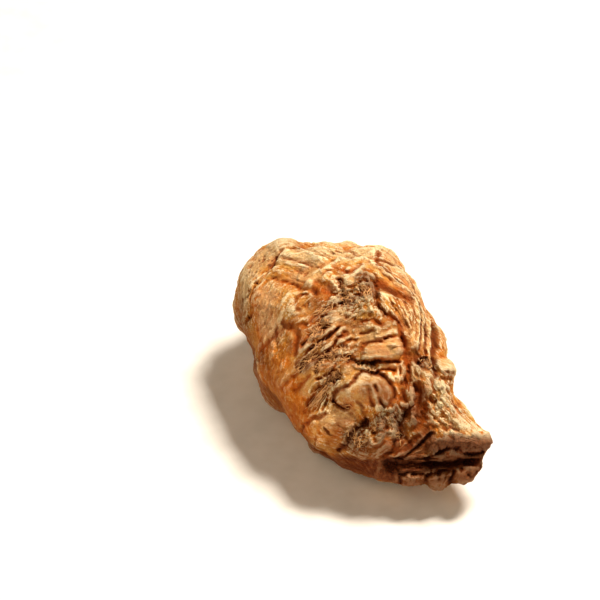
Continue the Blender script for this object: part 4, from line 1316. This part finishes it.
@dataclass
class RootSkin:
    """The whole root as one closed skin, with what its finish needs to know at each vertex."""

    plane: FacePlane = FacePlane()
    form: PlumpForm = PlumpForm()
    grid: WrappedGrid = WrappedGrid()
    outward_pull: float = 3.0  # how far features on the face's side turn from square to the surface towards w
    settling: float = 0.5  # mm above the ground where the weight begins to press the underside flat
    ragged: tuple[tuple[float, float], ...] = ((2.2, 0.3), (0.8, 0.14))  # how features stray, as in strayed
    uneven: float = 0.55  # how much a feature's height changes along it
    uneven_spacing: float = 1.7  # mm
    uneven_half: float = 0.8  # mm, the half width past which features are less uneven
    pore_height: float = 0.05  # mm, of the finest bumps
    pore_spacing: float = 0.45  # mm
    pit_depth: float = 0.35  # mm
    pit_spacing: float = 0.5  # mm
    pit_edge: tuple[float, float] = (0.3, 0.7)  # the noise where a pit begins, and where it is deepest
    pit_stain: float = 0.9
    near_rounds: int = 12  # of averaging, for how far a vertex stands above the skin close by
    wide_rounds: int = 90  # and above the skin farther off
    wide_share: float = 0.6  # how much the second counts
    level_rounds: int = 6  # of averaging, for the way that both are measured along
    bowl_rounds: tuple[int, int] = (40, 500)  # of averaging, for the form and for what it is sunk in
    points: Floats = field(init=False)
    faces: Ints = field(init=False)
    marks: dict[str, Floats] = field(init=False)

    def folds(self, plump: Floats) -> tuple[Floats, dict[str, Floats]]:
        """The height of the swells and features together, and their colours.

        Args:
            plump: The plump form's points.

        Returns:
            Millimetres, and each colour's strength by name, at each point.
        """
        height = Swells().height(plump)
        tints = {name: np.zeros(len(plump)) for name in MARKS}
        ragged = strayed(plump, self.ragged, Seed.RAGGED)
        uneven = self.uneven * lattice_noise(plump / self.uneven_spacing, Seed.UNEVEN)
        for feature in FEATURES:
            reached, share = feature.share(self.form, ragged)
            varied = 1 + uneven[reached] * min(1.0, self.uneven_half / feature.half)
            height[reached] += feature.rise * varied * feature.section.height(share)
            spread = np.maximum(1 - (share / feature.section.tinted) ** 2, 0) ** TINT_FADE
            for name, tint in tints.items():
                tint[reached] = np.maximum(tint[reached], getattr(feature, name) * spread)
        speckle = lattice_noise(plump / self.pit_spacing, Seed.PITS)
        pits = smoothstep(*self.pit_edge, speckle) * tints["pitted"]
        tints["stain"] = np.maximum(tints["stain"], self.pit_stain * pits)
        return height - self.pit_depth * pits, tints

    def shape(self) -> None:
        """Works out the skin's points (u, v, w) and its marks.

        The plump form moves along its normals, turned towards w on the face's side, by the swells and the
        features. The wrinkles and pores then move that along its own normals.
        """
        directions, self.faces = self.grid.build()
        plump = self.form.points(directions)
        normals = vertex_normals(plump, self.faces)
        height, self.marks = self.folds(plump)
        pull = normals + [0, 0, self.outward_pull] * np.maximum(normals[:, 2:], 0)
        folded = plump + unit(pull) * height[:, None]
        wrinkles, way, fine = Wrinkles(self.form).height(plump, normals)
        pores = self.pore_height * lattice_noise(plump / self.pore_spacing, Seed.PORES)
        along = vertex_normals(folded, self.faces)
        self.points = folded + along * (wrinkles + pores)[:, None]
        sunk = [smoothed(height, self.faces, rounds) for rounds in self.bowl_rounds]
        self.marks |= {"fine": fine, "relief": self.relief(), "bowl": sunk[0] - sunk[1],
                       "way": way @ self.plane.axes}

    def relief(self) -> Floats:
        """How far each vertex stands above the skin around it.

        Returns:
            Millimetres along the smoothed normals, below zero in a crease.
        """
        normals = vertex_normals(self.points, self.faces)
        near = self.points - smoothed(self.points, self.faces, self.near_rounds)
        wide = self.points - smoothed(self.points, self.faces, self.wide_rounds)
        level = smoothed(normals, self.faces, self.level_rounds)
        return np.einsum("ij,ij->i", near + self.wide_share * wide, level)

    def settled(self, points: Floats) -> Floats:
        """Points pressed up to the ground: z becomes (z + k)^2 / 4k between -k and k, and 0 below that.

        Args:
            points: Rows (x, y, z) in the part's frame.

        Returns:
            The pressed rows.
        """
        pressed = points.copy()
        z, k = points[:, 2], self.settling
        pressed[:, 2] = np.where(z < k, np.where(z < -k, 0.0, (z + k) ** 2 / (4 * k)), z)
        return pressed

    def build(self, finish: bpy.types.Material) -> bpy.types.Object:
        """Makes the skin's object, in metres, with its marks as vertex attributes.

        Args:
            finish: The skin's material.

        Returns:
            The object, which stands for the CAD root.
        """
        self.shape()
        placed = self.settled(self.plane.to_part(self.points)) * MM
        return root_piece("root_skin", placed, self.faces, finish, self.marks)


# === Rootlets ===

@dataclass(frozen=True)
class Tuft:
    """Side roots that lie in one stretch of the skin: how many, along which path, and which way they lie."""

    count: int
    path: tuple[Point2, ...]
    spread: float  # mm, how far from the path they start
    angle: float  # degrees from u towards v
    fan: float  # degrees, how much that varies
    length: tuple[float, float] = (0.8, 2.2)  # mm
    curl: float = 18.0  # degrees, how much they turn at each joint
    arch: float = 0.22  # mm, how high the middle of one may stand off the skin


TUFTS = (
    Tuft(50, ((-3.4, 12.8), (-3.0, 10.6), (-1.4, 10.0), (0.6, 11.2), (0.2, 12.6)), 0.8, 20, 90,
         (0.8, 2.0), 45, 0.4),
    Tuft(14, ((-7.6, 8.1), (-6.4, 8.6), (-5.2, 8.9)), 0.35, 30, 35),
    Tuft(27, ((-8.2, 5.3), (-7.0, 6.0), (-5.4, 6.5)), 0.6, 28, 50, (0.8, 2.2), 32),
    Tuft(16, ((-8.6, 3.9), (-7.4, 4.7), (-6.6, 4.9)), 0.3, 34, 35),
    Tuft(20, ((-8.4, 2.3), (-7.2, 3.0), (-5.2, 3.4)), 0.5, 34, 45),
    Tuft(22, ((-5.4, 1.3), (-4.0, 2.3), (-2.6, 2.6)), 0.5, 22, 55, (0.7, 1.8), 36),
    Tuft(36, ((-10.4, -1.2), (-9.6, 0.0), (-8.2, 1.2)), 0.6, 42, 40, (0.8, 2.4), 30),
    Tuft(36, ((-7.4, -1.0), (-6.4, 0.8), (-4.4, 1.0), (-2.4, 0.6)), 0.5, 20, 60, (0.7, 2.0), 36),
    Tuft(40, ((-5.9, -3.1), (-4.8, -2.4), (-3.7, -1.4)), 0.7, 40, 80, (0.7, 1.8), 50, 0.4),
    Tuft(32, ((-6.4, -4.3), (-7.4, -5.6), (-8.4, -7.0)), 0.7, 50, 14, (1.2, 3.0), 9, 0.15),
    Tuft(16, ((-1.2, -0.2), (0.4, -0.6), (1.6, -1.1)), 0.4, 10, 80, (0.5, 1.3), 45, 0.3),
    Tuft(1, ((1.0, 0.7),), 0.0, -80, 4, (0.8, 0.9), 8, 0.1),
    Tuft(27, ((-1.6, -11.2), (-1.0, -12.4), (0.4, -12.8)), 0.8, -60, 80, (0.6, 1.6), 45, 0.3),
    Tuft(8, ((1.0, -10.2), (1.8, -10.6)), 0.5, 60, 80, (0.5, 1.2), 45, 0.3),
    Tuft(11, ((9.4, 0.3), (10.4, 0.2), (11.0, -0.5)), 0.4, 20, 80, (0.5, 1.2), 40, 0.3),
    Tuft(6, ((-4.8, -6.3), (-3.4, -7.0), (-2.0, -6.9)), 0.25, -15, 45, (0.6, 1.4), 36),
    Tuft(7, ((5.4, -11.4), (6.2, -13.0)), 0.4, -60, 60, (0.6, 1.6), 36),
    Tuft(4, ((-13.6, 18.2), (-15.2, 15.8), (-17.8, 12.4)), 0.5, 40, 70, (0.5, 1.0), 30),
    Tuft(7, ((-0.6, -13.6), (2.4, -9.8), (5.4, -8.4)), 0.7, 70, 80, (0.5, 1.2), 36),
)


@dataclass(frozen=True)
class Cover:
    """How high the skin's face side stands over each place in the face plane."""

    low: Point2
    step: float
    heights: Floats

    @classmethod
    def of(cls, points: Floats, step: float = 0.3, rounds: int = 6) -> "Cover":
        """Takes the highest point over each square of a lattice, and spreads the heights to empty squares.

        Args:
            points: The skin's points (u, v, w).
            step: The squares' side, in millimetres.
            rounds: How many squares far the heights spread.

        Returns:
            The cover.
        """
        low = points[:, :2].min(axis=0) - step
        squares = ((points[:, :2] - low) / step).astype(np.int64)
        heights = np.full(squares.max(axis=0) + 2, -np.inf)
        np.maximum.at(heights, (squares[:, 0], squares[:, 1]), points[:, 2])
        for _ in range(rounds):
            wide = np.pad(heights, 1, mode="edge")
            around = np.maximum.reduce([wide[:-2, 1:-1], wide[2:, 1:-1], wide[1:-1, :-2], wide[1:-1, 2:]])
            heights = np.where(np.isfinite(heights), heights, around)
        floor = np.where(np.isfinite(heights), heights, points[:, 2].min())
        return cls((float(low[0]), float(low[1])), step, floor)

    def over(self, places: Floats) -> Floats:
        """The height over each place, mixed from the four squares around it by nearness.

        Args:
            places: Points (u, v), along the last axis.

        Returns:
            One height for each, in millimetres.
        """
        at = (places - self.low) / self.step - 0.5
        at = np.clip(at, 0, np.array(self.heights.shape) - 1.001)
        cell = at.astype(np.int64)
        i, j = np.moveaxis(cell, -1, 0)
        a, b = np.moveaxis(at - cell, -1, 0)
        h = self.heights
        return ((1 - a) * (1 - b) * h[i, j] + a * (1 - b) * h[i + 1, j]
                + (1 - a) * b * h[i, j + 1] + a * b * h[i + 1, j + 1])


@dataclass(frozen=True)
class Rootlets:
    """Thread-like side roots, dried on to the skin in its creases."""

    plane: FacePlane = FacePlane()
    tufts: tuple[Tuft, ...] = TUFTS
    joints: int = 8  # points along each one
    sides: int = 4  # of each one's section
    radius: tuple[float, float] = (0.05, 0.1)  # mm, of the thinnest and thickest
    taper: float = 0.55  # how much thinner the tip is
    path_steps: int = 12  # starting places between two points of a tuft's path
    arch_share: tuple[float, float] = (0.1, 1.0)  # how much of its tuft's arch each one has

    def lines(self, tuft: Tuft, cover: Cover, rng: np.random.Generator) -> Floats:
        """One tuft's centre lines.

        Each starts at a random place beside the tuft's path and takes equal steps, turning by a random angle
        at each. It lies on the skin, and its middle arches off it as the sine of the way along.

        Args:
            tuft: The tuft.
            cover: The skin's height over the face plane.
            rng: The source of chance.

        Returns:
            Points (u, v, w), of shape (count, joints, 3).
        """
        count, joints = tuft.count, self.joints
        path = resampled(tuft.path, self.path_steps)
        starts = path[rng.integers(0, len(path), count)] + rng.normal(0, tuft.spread / 2, (count, 2))
        fanned = tuft.angle + rng.uniform(-tuft.fan, tuft.fan, count)
        heading = np.radians(fanned + 180 * rng.integers(0, 2, count))
        turns = np.radians(rng.normal(0, tuft.curl, (count, joints))).cumsum(axis=1)
        bearing = heading[:, None] + turns - turns[:, joints // 2, None]
        stride = rng.uniform(*tuft.length, count)[:, None] / (joints - 1)
        steps = np.stack([np.cos(bearing), np.sin(bearing)], axis=2) * stride[..., None]
        flat = starts[:, None] + steps.cumsum(axis=1) - steps.sum(axis=1, keepdims=True) / 2
        bow = np.sin(np.linspace(0, math.pi, joints))
        rise = rng.uniform(*self.arch_share, count)[:, None] * tuft.arch * bow
        return np.concatenate([flat, (cover.over(flat) + rise)[..., None]], axis=2)

    def build(self, skin: RootSkin, finish: bpy.types.Material) -> bpy.types.Object:
        """Makes all the rootlets as one object of tapered four-sided tubes with closed ends.

        A ring's corner is the line's point, plus the radius there times the cosine of the corner's angle
        sideways and its sine away from the skin.

        Args:
            skin: The skin that they lie on, already shaped.
            finish: Their material.

        Returns:
            The object, with each one's "tone", 0 to 1, as a vertex attribute.
        """
        rng = np.random.default_rng(Seed.ROOTLETS)
        facing = vertex_normals(skin.points, skin.faces)[:, 2] > 0
        cover = Cover.of(skin.points[facing])
        lines = np.concatenate([self.lines(tuft, cover, rng) for tuft in self.tufts])
        count, joints, sides = len(lines), self.joints, self.sides
        along = np.gradient(lines, axis=1)
        aside = np.cross(along, [0.0, 0.0, 1.0])
        aside /= np.linalg.norm(aside, axis=2, keepdims=True)
        up = np.cross(aside, along)
        up /= np.linalg.norm(up, axis=2, keepdims=True)
        thick = rng.uniform(*self.radius, count)[:, None] * (1 - self.taper * np.linspace(0, 1, joints))
        corners = math.tau * (np.arange(sides) + 0.5) / sides
        rings = np.cos(corners)[:, None] * aside[:, :, None] + np.sin(corners)[:, None] * up[:, :, None]
        points = lines[:, :, None] + thick[..., None, None] * rings
        numbers = np.arange(count * joints * sides).reshape(count, joints, sides)
        after = np.roll(numbers, -1, axis=2)
        walls = np.stack([numbers[:, :-1], after[:, :-1], after[:, 1:], numbers[:, 1:]], axis=3)
        faces = np.concatenate([walls.reshape(-1, 4), numbers[:, 0, ::-1], numbers[:, -1]])
        placed = self.plane.to_part(points.reshape(-1, 3)) * MM
        placed[:, 2] = np.maximum(placed[:, 2], 0.0)
        tone = np.repeat(rng.uniform(0, 1, count), joints * sides)
        return root_piece("rootlets", placed, faces, finish, {"tone": tone})


# === Finishes ===

def linear(colour: str) -> tuple[float, float, float, float]:
    """An sRGB hex colour, such as "C68A4A", as linear red, green, blue and alpha."""
    parts = [int(colour[i:i + 2], 16) / 255 for i in (0, 2, 4)]
    return (*(p / 12.92 if p <= 0.04045 else ((p + 0.055) / 1.055) ** 2.4 for p in parts), 1.0)


def add_node(tree: bpy.types.NodeTree, kind: str, settings: dict | None = None,
             inputs: dict | None = None) -> bpy.types.Node:
    """Adds a node.

    Args:
        tree: The node tree.
        kind: The node's type without its "ShaderNode", such as "Math".
        settings: Its properties, by name.
        inputs: Its sockets by name or number, each given a value or linked from another node's socket.

    Returns:
        The node.
    """
    node = tree.nodes.new("ShaderNode" + kind)
    for name, value in (settings or {}).items():
        setattr(node, name, value)
    for name, value in (inputs or {}).items():
        if isinstance(value, Socket):
            tree.links.new(value, node.inputs[name])
        else:
            node.inputs[name].default_value = value
    return node


@dataclass(frozen=True)
class Amount:
    """How much there is of something at each point: a named value times a share."""

    value: str  # the name of a mark, a noise, the streaks or a sum of those
    share: float = 1.0
    ease: tuple[float, float] | None = None  # what the value has to be for none of it, and for all of it
    held: str | None = None  # a second value, that it is multiplied by


@dataclass(frozen=True)
class Noise:
    """Noise of 0 to 1 all through a material."""

    spacing: float  # mm between its largest patches
    detail: float  # how many times finer ones, each half the size, are added
    roughness: float  # how strong each of those is beside the one before


class Paint:
    """A material in the making: values at each point, then coats of colour laid by them, then its shader."""

    def __init__(self, name: str, noises: dict[str, Noise], marks: Sequence[str] = ()) -> None:
        """Starts the material, with the first of its values.

        Args:
            name: The material's name.
            noises: Its noises, by name.
            marks: The attributes that it reads from the mesh.
        """
        self.material = bpy.data.materials.new(name)
        self.material.use_nodes = True
        self.tree = self.material.node_tree
        self.tree.nodes.clear()
        self.place = add_node(self.tree, "TexCoord").outputs["Object"]
        self.values: dict[str, Socket] = {}
        for mark in marks:
            self.values[mark] = add_node(self.tree, "Attribute", {"attribute_name": mark}).outputs["Fac"]
        for name, noise in noises.items():
            self.values[name] = add_node(self.tree, "TexNoise", None, {
                "Vector": self.place, "Scale": 1 / (noise.spacing * MM), "Detail": noise.detail,
                "Roughness": noise.roughness,
            }).outputs["Fac"]

    def add_streaks(self, name: str, spacing: float, taps: int = 9, stride: float = 0.9, gain: float = 4.375,
                    power: float = 0.6) -> None:
        """Adds fine wrinkles that run the mesh's "way", as a value of 0 in their creases and 1 on their tops.

        Noise is added up over a few places along the way. Where the sum crosses its middle there is a
        crease: the value is the distance from the middle times a gain, held under 1, to a power.

        Args:
            name: The value's name.
            spacing: Millimetres between wrinkles.
            taps: How many places.
            stride: Spacings from one place to the next.
            gain: The gain for one tap. It is divided by the root of their number, as their sum swings more.
            power: Under 1 makes the creases sharp.
        """
        way = add_node(self.tree, "Attribute", {"attribute_name": "way"}).outputs["Vector"]
        total = 0.0
        for tap in range(taps):
            far = (tap - (taps - 1) / 2) * stride * spacing * MM
            moved = add_node(self.tree, "VectorMath", {"operation": "MULTIPLY_ADD"}, {
                0: way, 1: (far, far, far), 2: self.place,
            }).outputs[0]
            tapped = add_node(self.tree, "TexNoise", None, {
                "Vector": moved, "Scale": 1 / (spacing * MM), "Detail": 1.0, "Roughness": 0.5,
            }).outputs["Fac"]
            total = add_node(self.tree, "Math", {"operation": "ADD"}, {0: total, 1: tapped}).outputs[0]
        for operation, number in (("SUBTRACT", taps / 2), ("ABSOLUTE", 0.0), ("MULTIPLY", gain / taps ** 0.5),
                                  ("MINIMUM", 1.0), ("POWER", power)):
            total = add_node(self.tree, "Math", {"operation": operation}, {0: total, 1: number}).outputs[0]
        self.values[name] = total

    def amount(self, part: Amount, base: Socket | float = 0.0) -> Socket:
        """Works out an amount.

        Args:
            part: The amount.
            base: What it is added to.

        Returns:
            The socket that gives the sum.
        """
        value = self.values[part.value]
        if part.ease:
            value = add_node(self.tree, "MapRange", {"interpolation_type": "SMOOTHSTEP"}, {
                "Value": value, "From Min": part.ease[0], "From Max": part.ease[1],
            }).outputs["Result"]
        if part.held:
            held = self.values[part.held]
            value = add_node(self.tree, "Math", {"operation": "MULTIPLY"}, {0: value, 1: held}).outputs[0]
        return add_node(self.tree, "Math", {"operation": "MULTIPLY_ADD"}, {
            0: value, 1: part.share, 2: base,
        }).outputs[0]

    def add_sum(self, name: str, start: float, *parts: Amount) -> None:
        """Adds a value that is a number and some amounts together.

        Args:
            name: The value's name.
            start: The number.
            parts: The amounts.
        """
        total = start
        for part in parts:
            total = self.amount(part, total)
        self.values[name] = total

    def finish(self, ground: str, coats: Sequence[tuple[str, Amount]], bumps: Sequence[tuple[str, float]],
               shader: dict) -> bpy.types.Material:
        """Lays the coats on one another and ends the material with a Principled shader.

        Args:
            ground: The colour under them all, in sRGB hex.
            coats: Each coat's colour, in sRGB hex, and how much of it there is.
            bumps: Values that are heights, each with how many millimetres 1 stands for.
            shader: The shader's other sockets, by name.

        Returns:
            The material.
        """
        colour = linear(ground)
        for coat, part in coats:
            colour = add_node(self.tree, "Mix", {"data_type": "RGBA"}, {
                0: self.amount(part), 6: colour, 7: linear(coat),
            }).outputs[2]
        normal: dict[str, Socket] = {}
        for value, tall in bumps:
            bump = add_node(self.tree, "Bump", None, {
                "Height": self.values[value], "Distance": tall * MM, "Strength": 1.0, **normal,
            })
            normal = {"Normal": bump.outputs["Normal"]}
        surface = add_node(self.tree, "BsdfPrincipled", None, {"Base Color": colour, **normal, **shader})
        add_node(self.tree, "OutputMaterial", None, {"Surface": surface.outputs["BSDF"]})
        return self.material


@dataclass(frozen=True)
class DriedRootSkin:
    """Dried root skin: a thin, corky periderm shrunk on to starchy flesh by the sun.

    It is matt and faintly waxy. Its ridges are rubbed pale, the skin between them is tan to orange, and
    dust and old side roots darken the creases.
    """

    tan: str = "CE8E3A"
    own: str = "CA6E14"  # where the skin keeps its orange
    straw: str = "E6BA6E"
    rubbed: str = "F4DCAE"  # the ridges
    rust: str = "963C08"  # sheltered hollows
    shade: str = "9C420A"  # the feet of ridges, and pores
    deep: str = "4C1C05"  # the brown underside
    crease: str = "3A1202"
    grime: str = "2C0E02"
    cream: str = "ECCE98"  # cork
    weathered: str = "6E4A38"
    worn: str = "A06034"  # ridges of the brown underside
    roughness: float = 0.75
    patches: Noise = Noise(6.0, 5, 0.6)
    blotches: Noise = Noise(1.9, 4, 0.6)
    mottle: Noise = Noise(1.1, 5, 0.65)
    flecks: Noise = Noise(0.7, 4, 0.65)
    pores: Noise = Noise(0.24, 3, 0.6)  # coarser than the real ones, so that they show
    thread: float = 0.42  # mm between the finest wrinkles

    def material(self) -> bpy.types.Material:
        """Paints the skin from the mesh's marks and noise in millimetres.

        Returns:
            The material.
        """
        noises = {"patches": self.patches, "blotches": self.blotches, "mottle": self.mottle,
                  "flecks": self.flecks, "pores": self.pores}
        paint = Paint("dried_root_skin", noises, ("stain", "cream", "orange", "rust", "brown", "grey",
                                                  "fine", "relief", "bowl"))
        paint.add_streaks("streaks", self.thread)
        # in millimetres: the finest wrinkles, and the skin's height with them and its flecks
        paint.add_sum("threads", 0.0, Amount("streaks", held="fine"))
        paint.add_sum("height", 0.0, Amount("relief"), Amount("flecks", 0.3), Amount("threads", 1.3))
        # how low a place lies or faces, how much dust it holds, and how bare its ridges are rubbed
        paint.add_sum("low", 0.0, Amount("height", ease=(0.3, -0.15)), Amount("bowl", ease=(-0.3, -1.2)),
                      Amount("brown", 0.6))
        paint.add_sum("dust", 0.0, Amount("low", held="stain"), Amount("flecks", 0.3))
        paint.add_sum("bare", 1.0, Amount("orange", -0.7), Amount("stain", -0.3))
        return paint.finish(self.tan, (
            (self.own, Amount("patches", 1.0, (0.44, 0.62))),
            (self.straw, Amount("blotches", 0.5, (0.48, 0.68))),
            (self.straw, Amount("flecks", 0.4, (0.5, 0.72))),
            (self.own, Amount("orange", 0.7)),
            (self.straw, Amount("mottle", 0.5, (0.5, 0.66))),
            (self.shade, Amount("mottle", 0.4, (0.5, 0.36))),
            (self.cream, Amount("cream", 0.85)),
            (self.rust, Amount("rust", 0.7)),
            (self.rust, Amount("bowl", 0.6, (-0.1, -1.1))),
            (self.rust, Amount("stain", 0.75)),
            (self.rubbed, Amount("height", 1.0, (0.3, 0.6), "bare")),
            (self.weathered, Amount("grey", 0.8)),
            (self.shade, Amount("height", 0.7, (0.2, -0.08))),
            (self.deep, Amount("brown", 0.97)),
            (self.worn, Amount("height", 0.4, (0.1, 0.55), "brown")),
            (self.crease, Amount("height", 0.85, (-0.06, -0.5))),
            (self.grime, Amount("dust", 0.8, (0.35, 1.15))),
            (self.shade, Amount("pores", 0.5, (0.55, 0.7))),
        ), (("threads", 0.8), ("flecks", 0.13), ("pores", 0.11)), {
            "Roughness": self.roughness, "IOR": 1.45, "Specular IOR Level": 0.1, "Subsurface Weight": 0.05,
            "Subsurface Radius": (1.2, 0.5, 0.25), "Subsurface Scale": MM,
        })


@dataclass(frozen=True)
class DriedRootlet:
    """Dried side roots: matt threads, from straw where they are rubbed to dark brown where they are old."""

    pale: str = "D69E62"
    old: str = "5A2208"
    roughness: float = 0.8
    flecks: Noise = Noise(0.5, 2, 0.5)  # darker and paler stretches

    def material(self) -> bpy.types.Material:
        """Paints each rootlet in its own tone, broken up along it.

        Returns:
            The material.
        """
        paint = Paint("dried_rootlet", {"flecks": self.flecks}, ("tone",))
        paint.add_sum("age", 0.0, Amount("tone"), Amount("flecks", 0.5))
        coats = ((self.old, Amount("age", ease=(0.6, 1.4))),)
        return paint.finish(self.pale, coats, (("flecks", 0.03),), {"Roughness": self.roughness, "IOR": 1.45})


@dataclass(frozen=True)
class PaleFloor:
    """Matt painted board: almost white, with a faint rolled grain."""

    paint_colour: str = "F4F2EE"
    grain_colour: str = "ECEAE5"
    grain: Noise = Noise(4.0, 2, 0.5)

    def material(self) -> bpy.types.Material:
        """Paints the floor.

        Returns:
            The material.
        """
        paint = Paint("pale_floor", {"grain": self.grain})
        coats = ((self.grain_colour, Amount("grain", ease=(0.3, 0.8))),)
        return paint.finish(self.paint_colour, coats, (("grain", 0.01),), {"Roughness": 0.9})


# === The stage ===

@dataclass(frozen=True)
class Lamp:
    """A square area light that looks at the root."""

    name: str
    place: tuple[float, float, float]  # mm, in the face plane's frame
    side: float  # m
    power: float  # W
    colour: str  # sRGB hex


@dataclass(frozen=True)
class Stage:
    """A plain pale floor, soft studio light and the camera."""

    plane: FacePlane
    distance: float = 0.9  # m from the camera to the root
    lens: float = 327.0  # mm
    sensor: float = 36.0  # mm
    farthest: float = 10.0  # m that the camera sees
    aim: Point2 = (-10.23, 10.23)  # mm, where the middle of the view is in the face plane
    floor_side: float = 3.0  # m
    sky_colour: str = "F3F0EA"
    sky_strength: float = 0.14
    lamps: tuple[Lamp, ...] = (
        Lamp("key", (140, 350, 202), 0.11, 3.25, "FFF4E6"),
        Lamp("fill", (-230, 50, 380), 0.4, 0.9, "FFE5C0"),
    )

    def place(self, name: str, data: bpy.types.ID, spot: Sequence[float],
              aim: Sequence[float]) -> bpy.types.Object:
        """Puts a lamp or a camera in the scene.

        Args:
            name: The object's name.
            data: The lamp or camera.
            spot: Where it is, in the face plane's frame, in millimetres.
            aim: What it looks at, likewise.

        Returns:
            The object.
        """
        made = bpy.data.objects.new(name, data)
        at, to = (Vector(row) for row in self.plane.to_part(np.array([spot, aim])) * MM)
        made.location = at
        made.rotation_euler = (to - at).to_track_quat("-Z", "Y").to_euler()
        bpy.context.scene.collection.objects.link(made)
        return made

    def build(self) -> None:
        """Sets up the floor, a flat square at z = 0 with its edges out of view, the sky, lamps and camera."""
        half = self.floor_side / 2
        corners = np.array([(-half, -half, 0), (half, -half, 0), (half, half, 0), (-half, half, 0)], float)
        mesh_object("floor", corners, np.array([[0, 1, 2, 3]]), PaleFloor().material())
        world = bpy.data.worlds.new("studio")
        world.use_nodes = True
        world.node_tree.nodes["Background"].inputs["Color"].default_value = linear(self.sky_colour)
        world.node_tree.nodes["Background"].inputs["Strength"].default_value = self.sky_strength
        bpy.context.scene.world = world
        for lamp in self.lamps:
            data = bpy.data.lights.new(lamp.name, "AREA")
            data.size = lamp.side
            data.energy = lamp.power
            data.color = linear(lamp.colour)[:3]
            self.place(lamp.name, data, lamp.place, (0, 0, 0))
        data = bpy.data.cameras.new("camera")
        data.lens = self.lens
        data.sensor_width = self.sensor
        data.clip_end = self.farthest
        eye = (*self.aim, self.distance / MM)
        bpy.context.scene.camera = self.place("camera", data, eye, (*self.aim, 0))
        bpy.context.scene.view_settings.view_transform = "Standard"


# === Building ===


def main() -> None:
    """Builds the root and its stage in order, and reports each piece."""
    logging.basicConfig(level=logging.INFO, format="%(name)s: %(message)s")
    plane = FacePlane()
    skin = RootSkin(plane)
    pieces = (skin.build(DriedRootSkin().material()), Rootlets(plane).build(skin, DriedRootlet().material()))
    for piece in pieces:
        log.info("%s: %d vertices, %d faces", piece.name, len(piece.data.vertices), len(piece.data.polygons))
    Stage(plane).build()
    log.info("stage: floor, sky, lamps and camera")


if __name__ == "__main__":
    main()
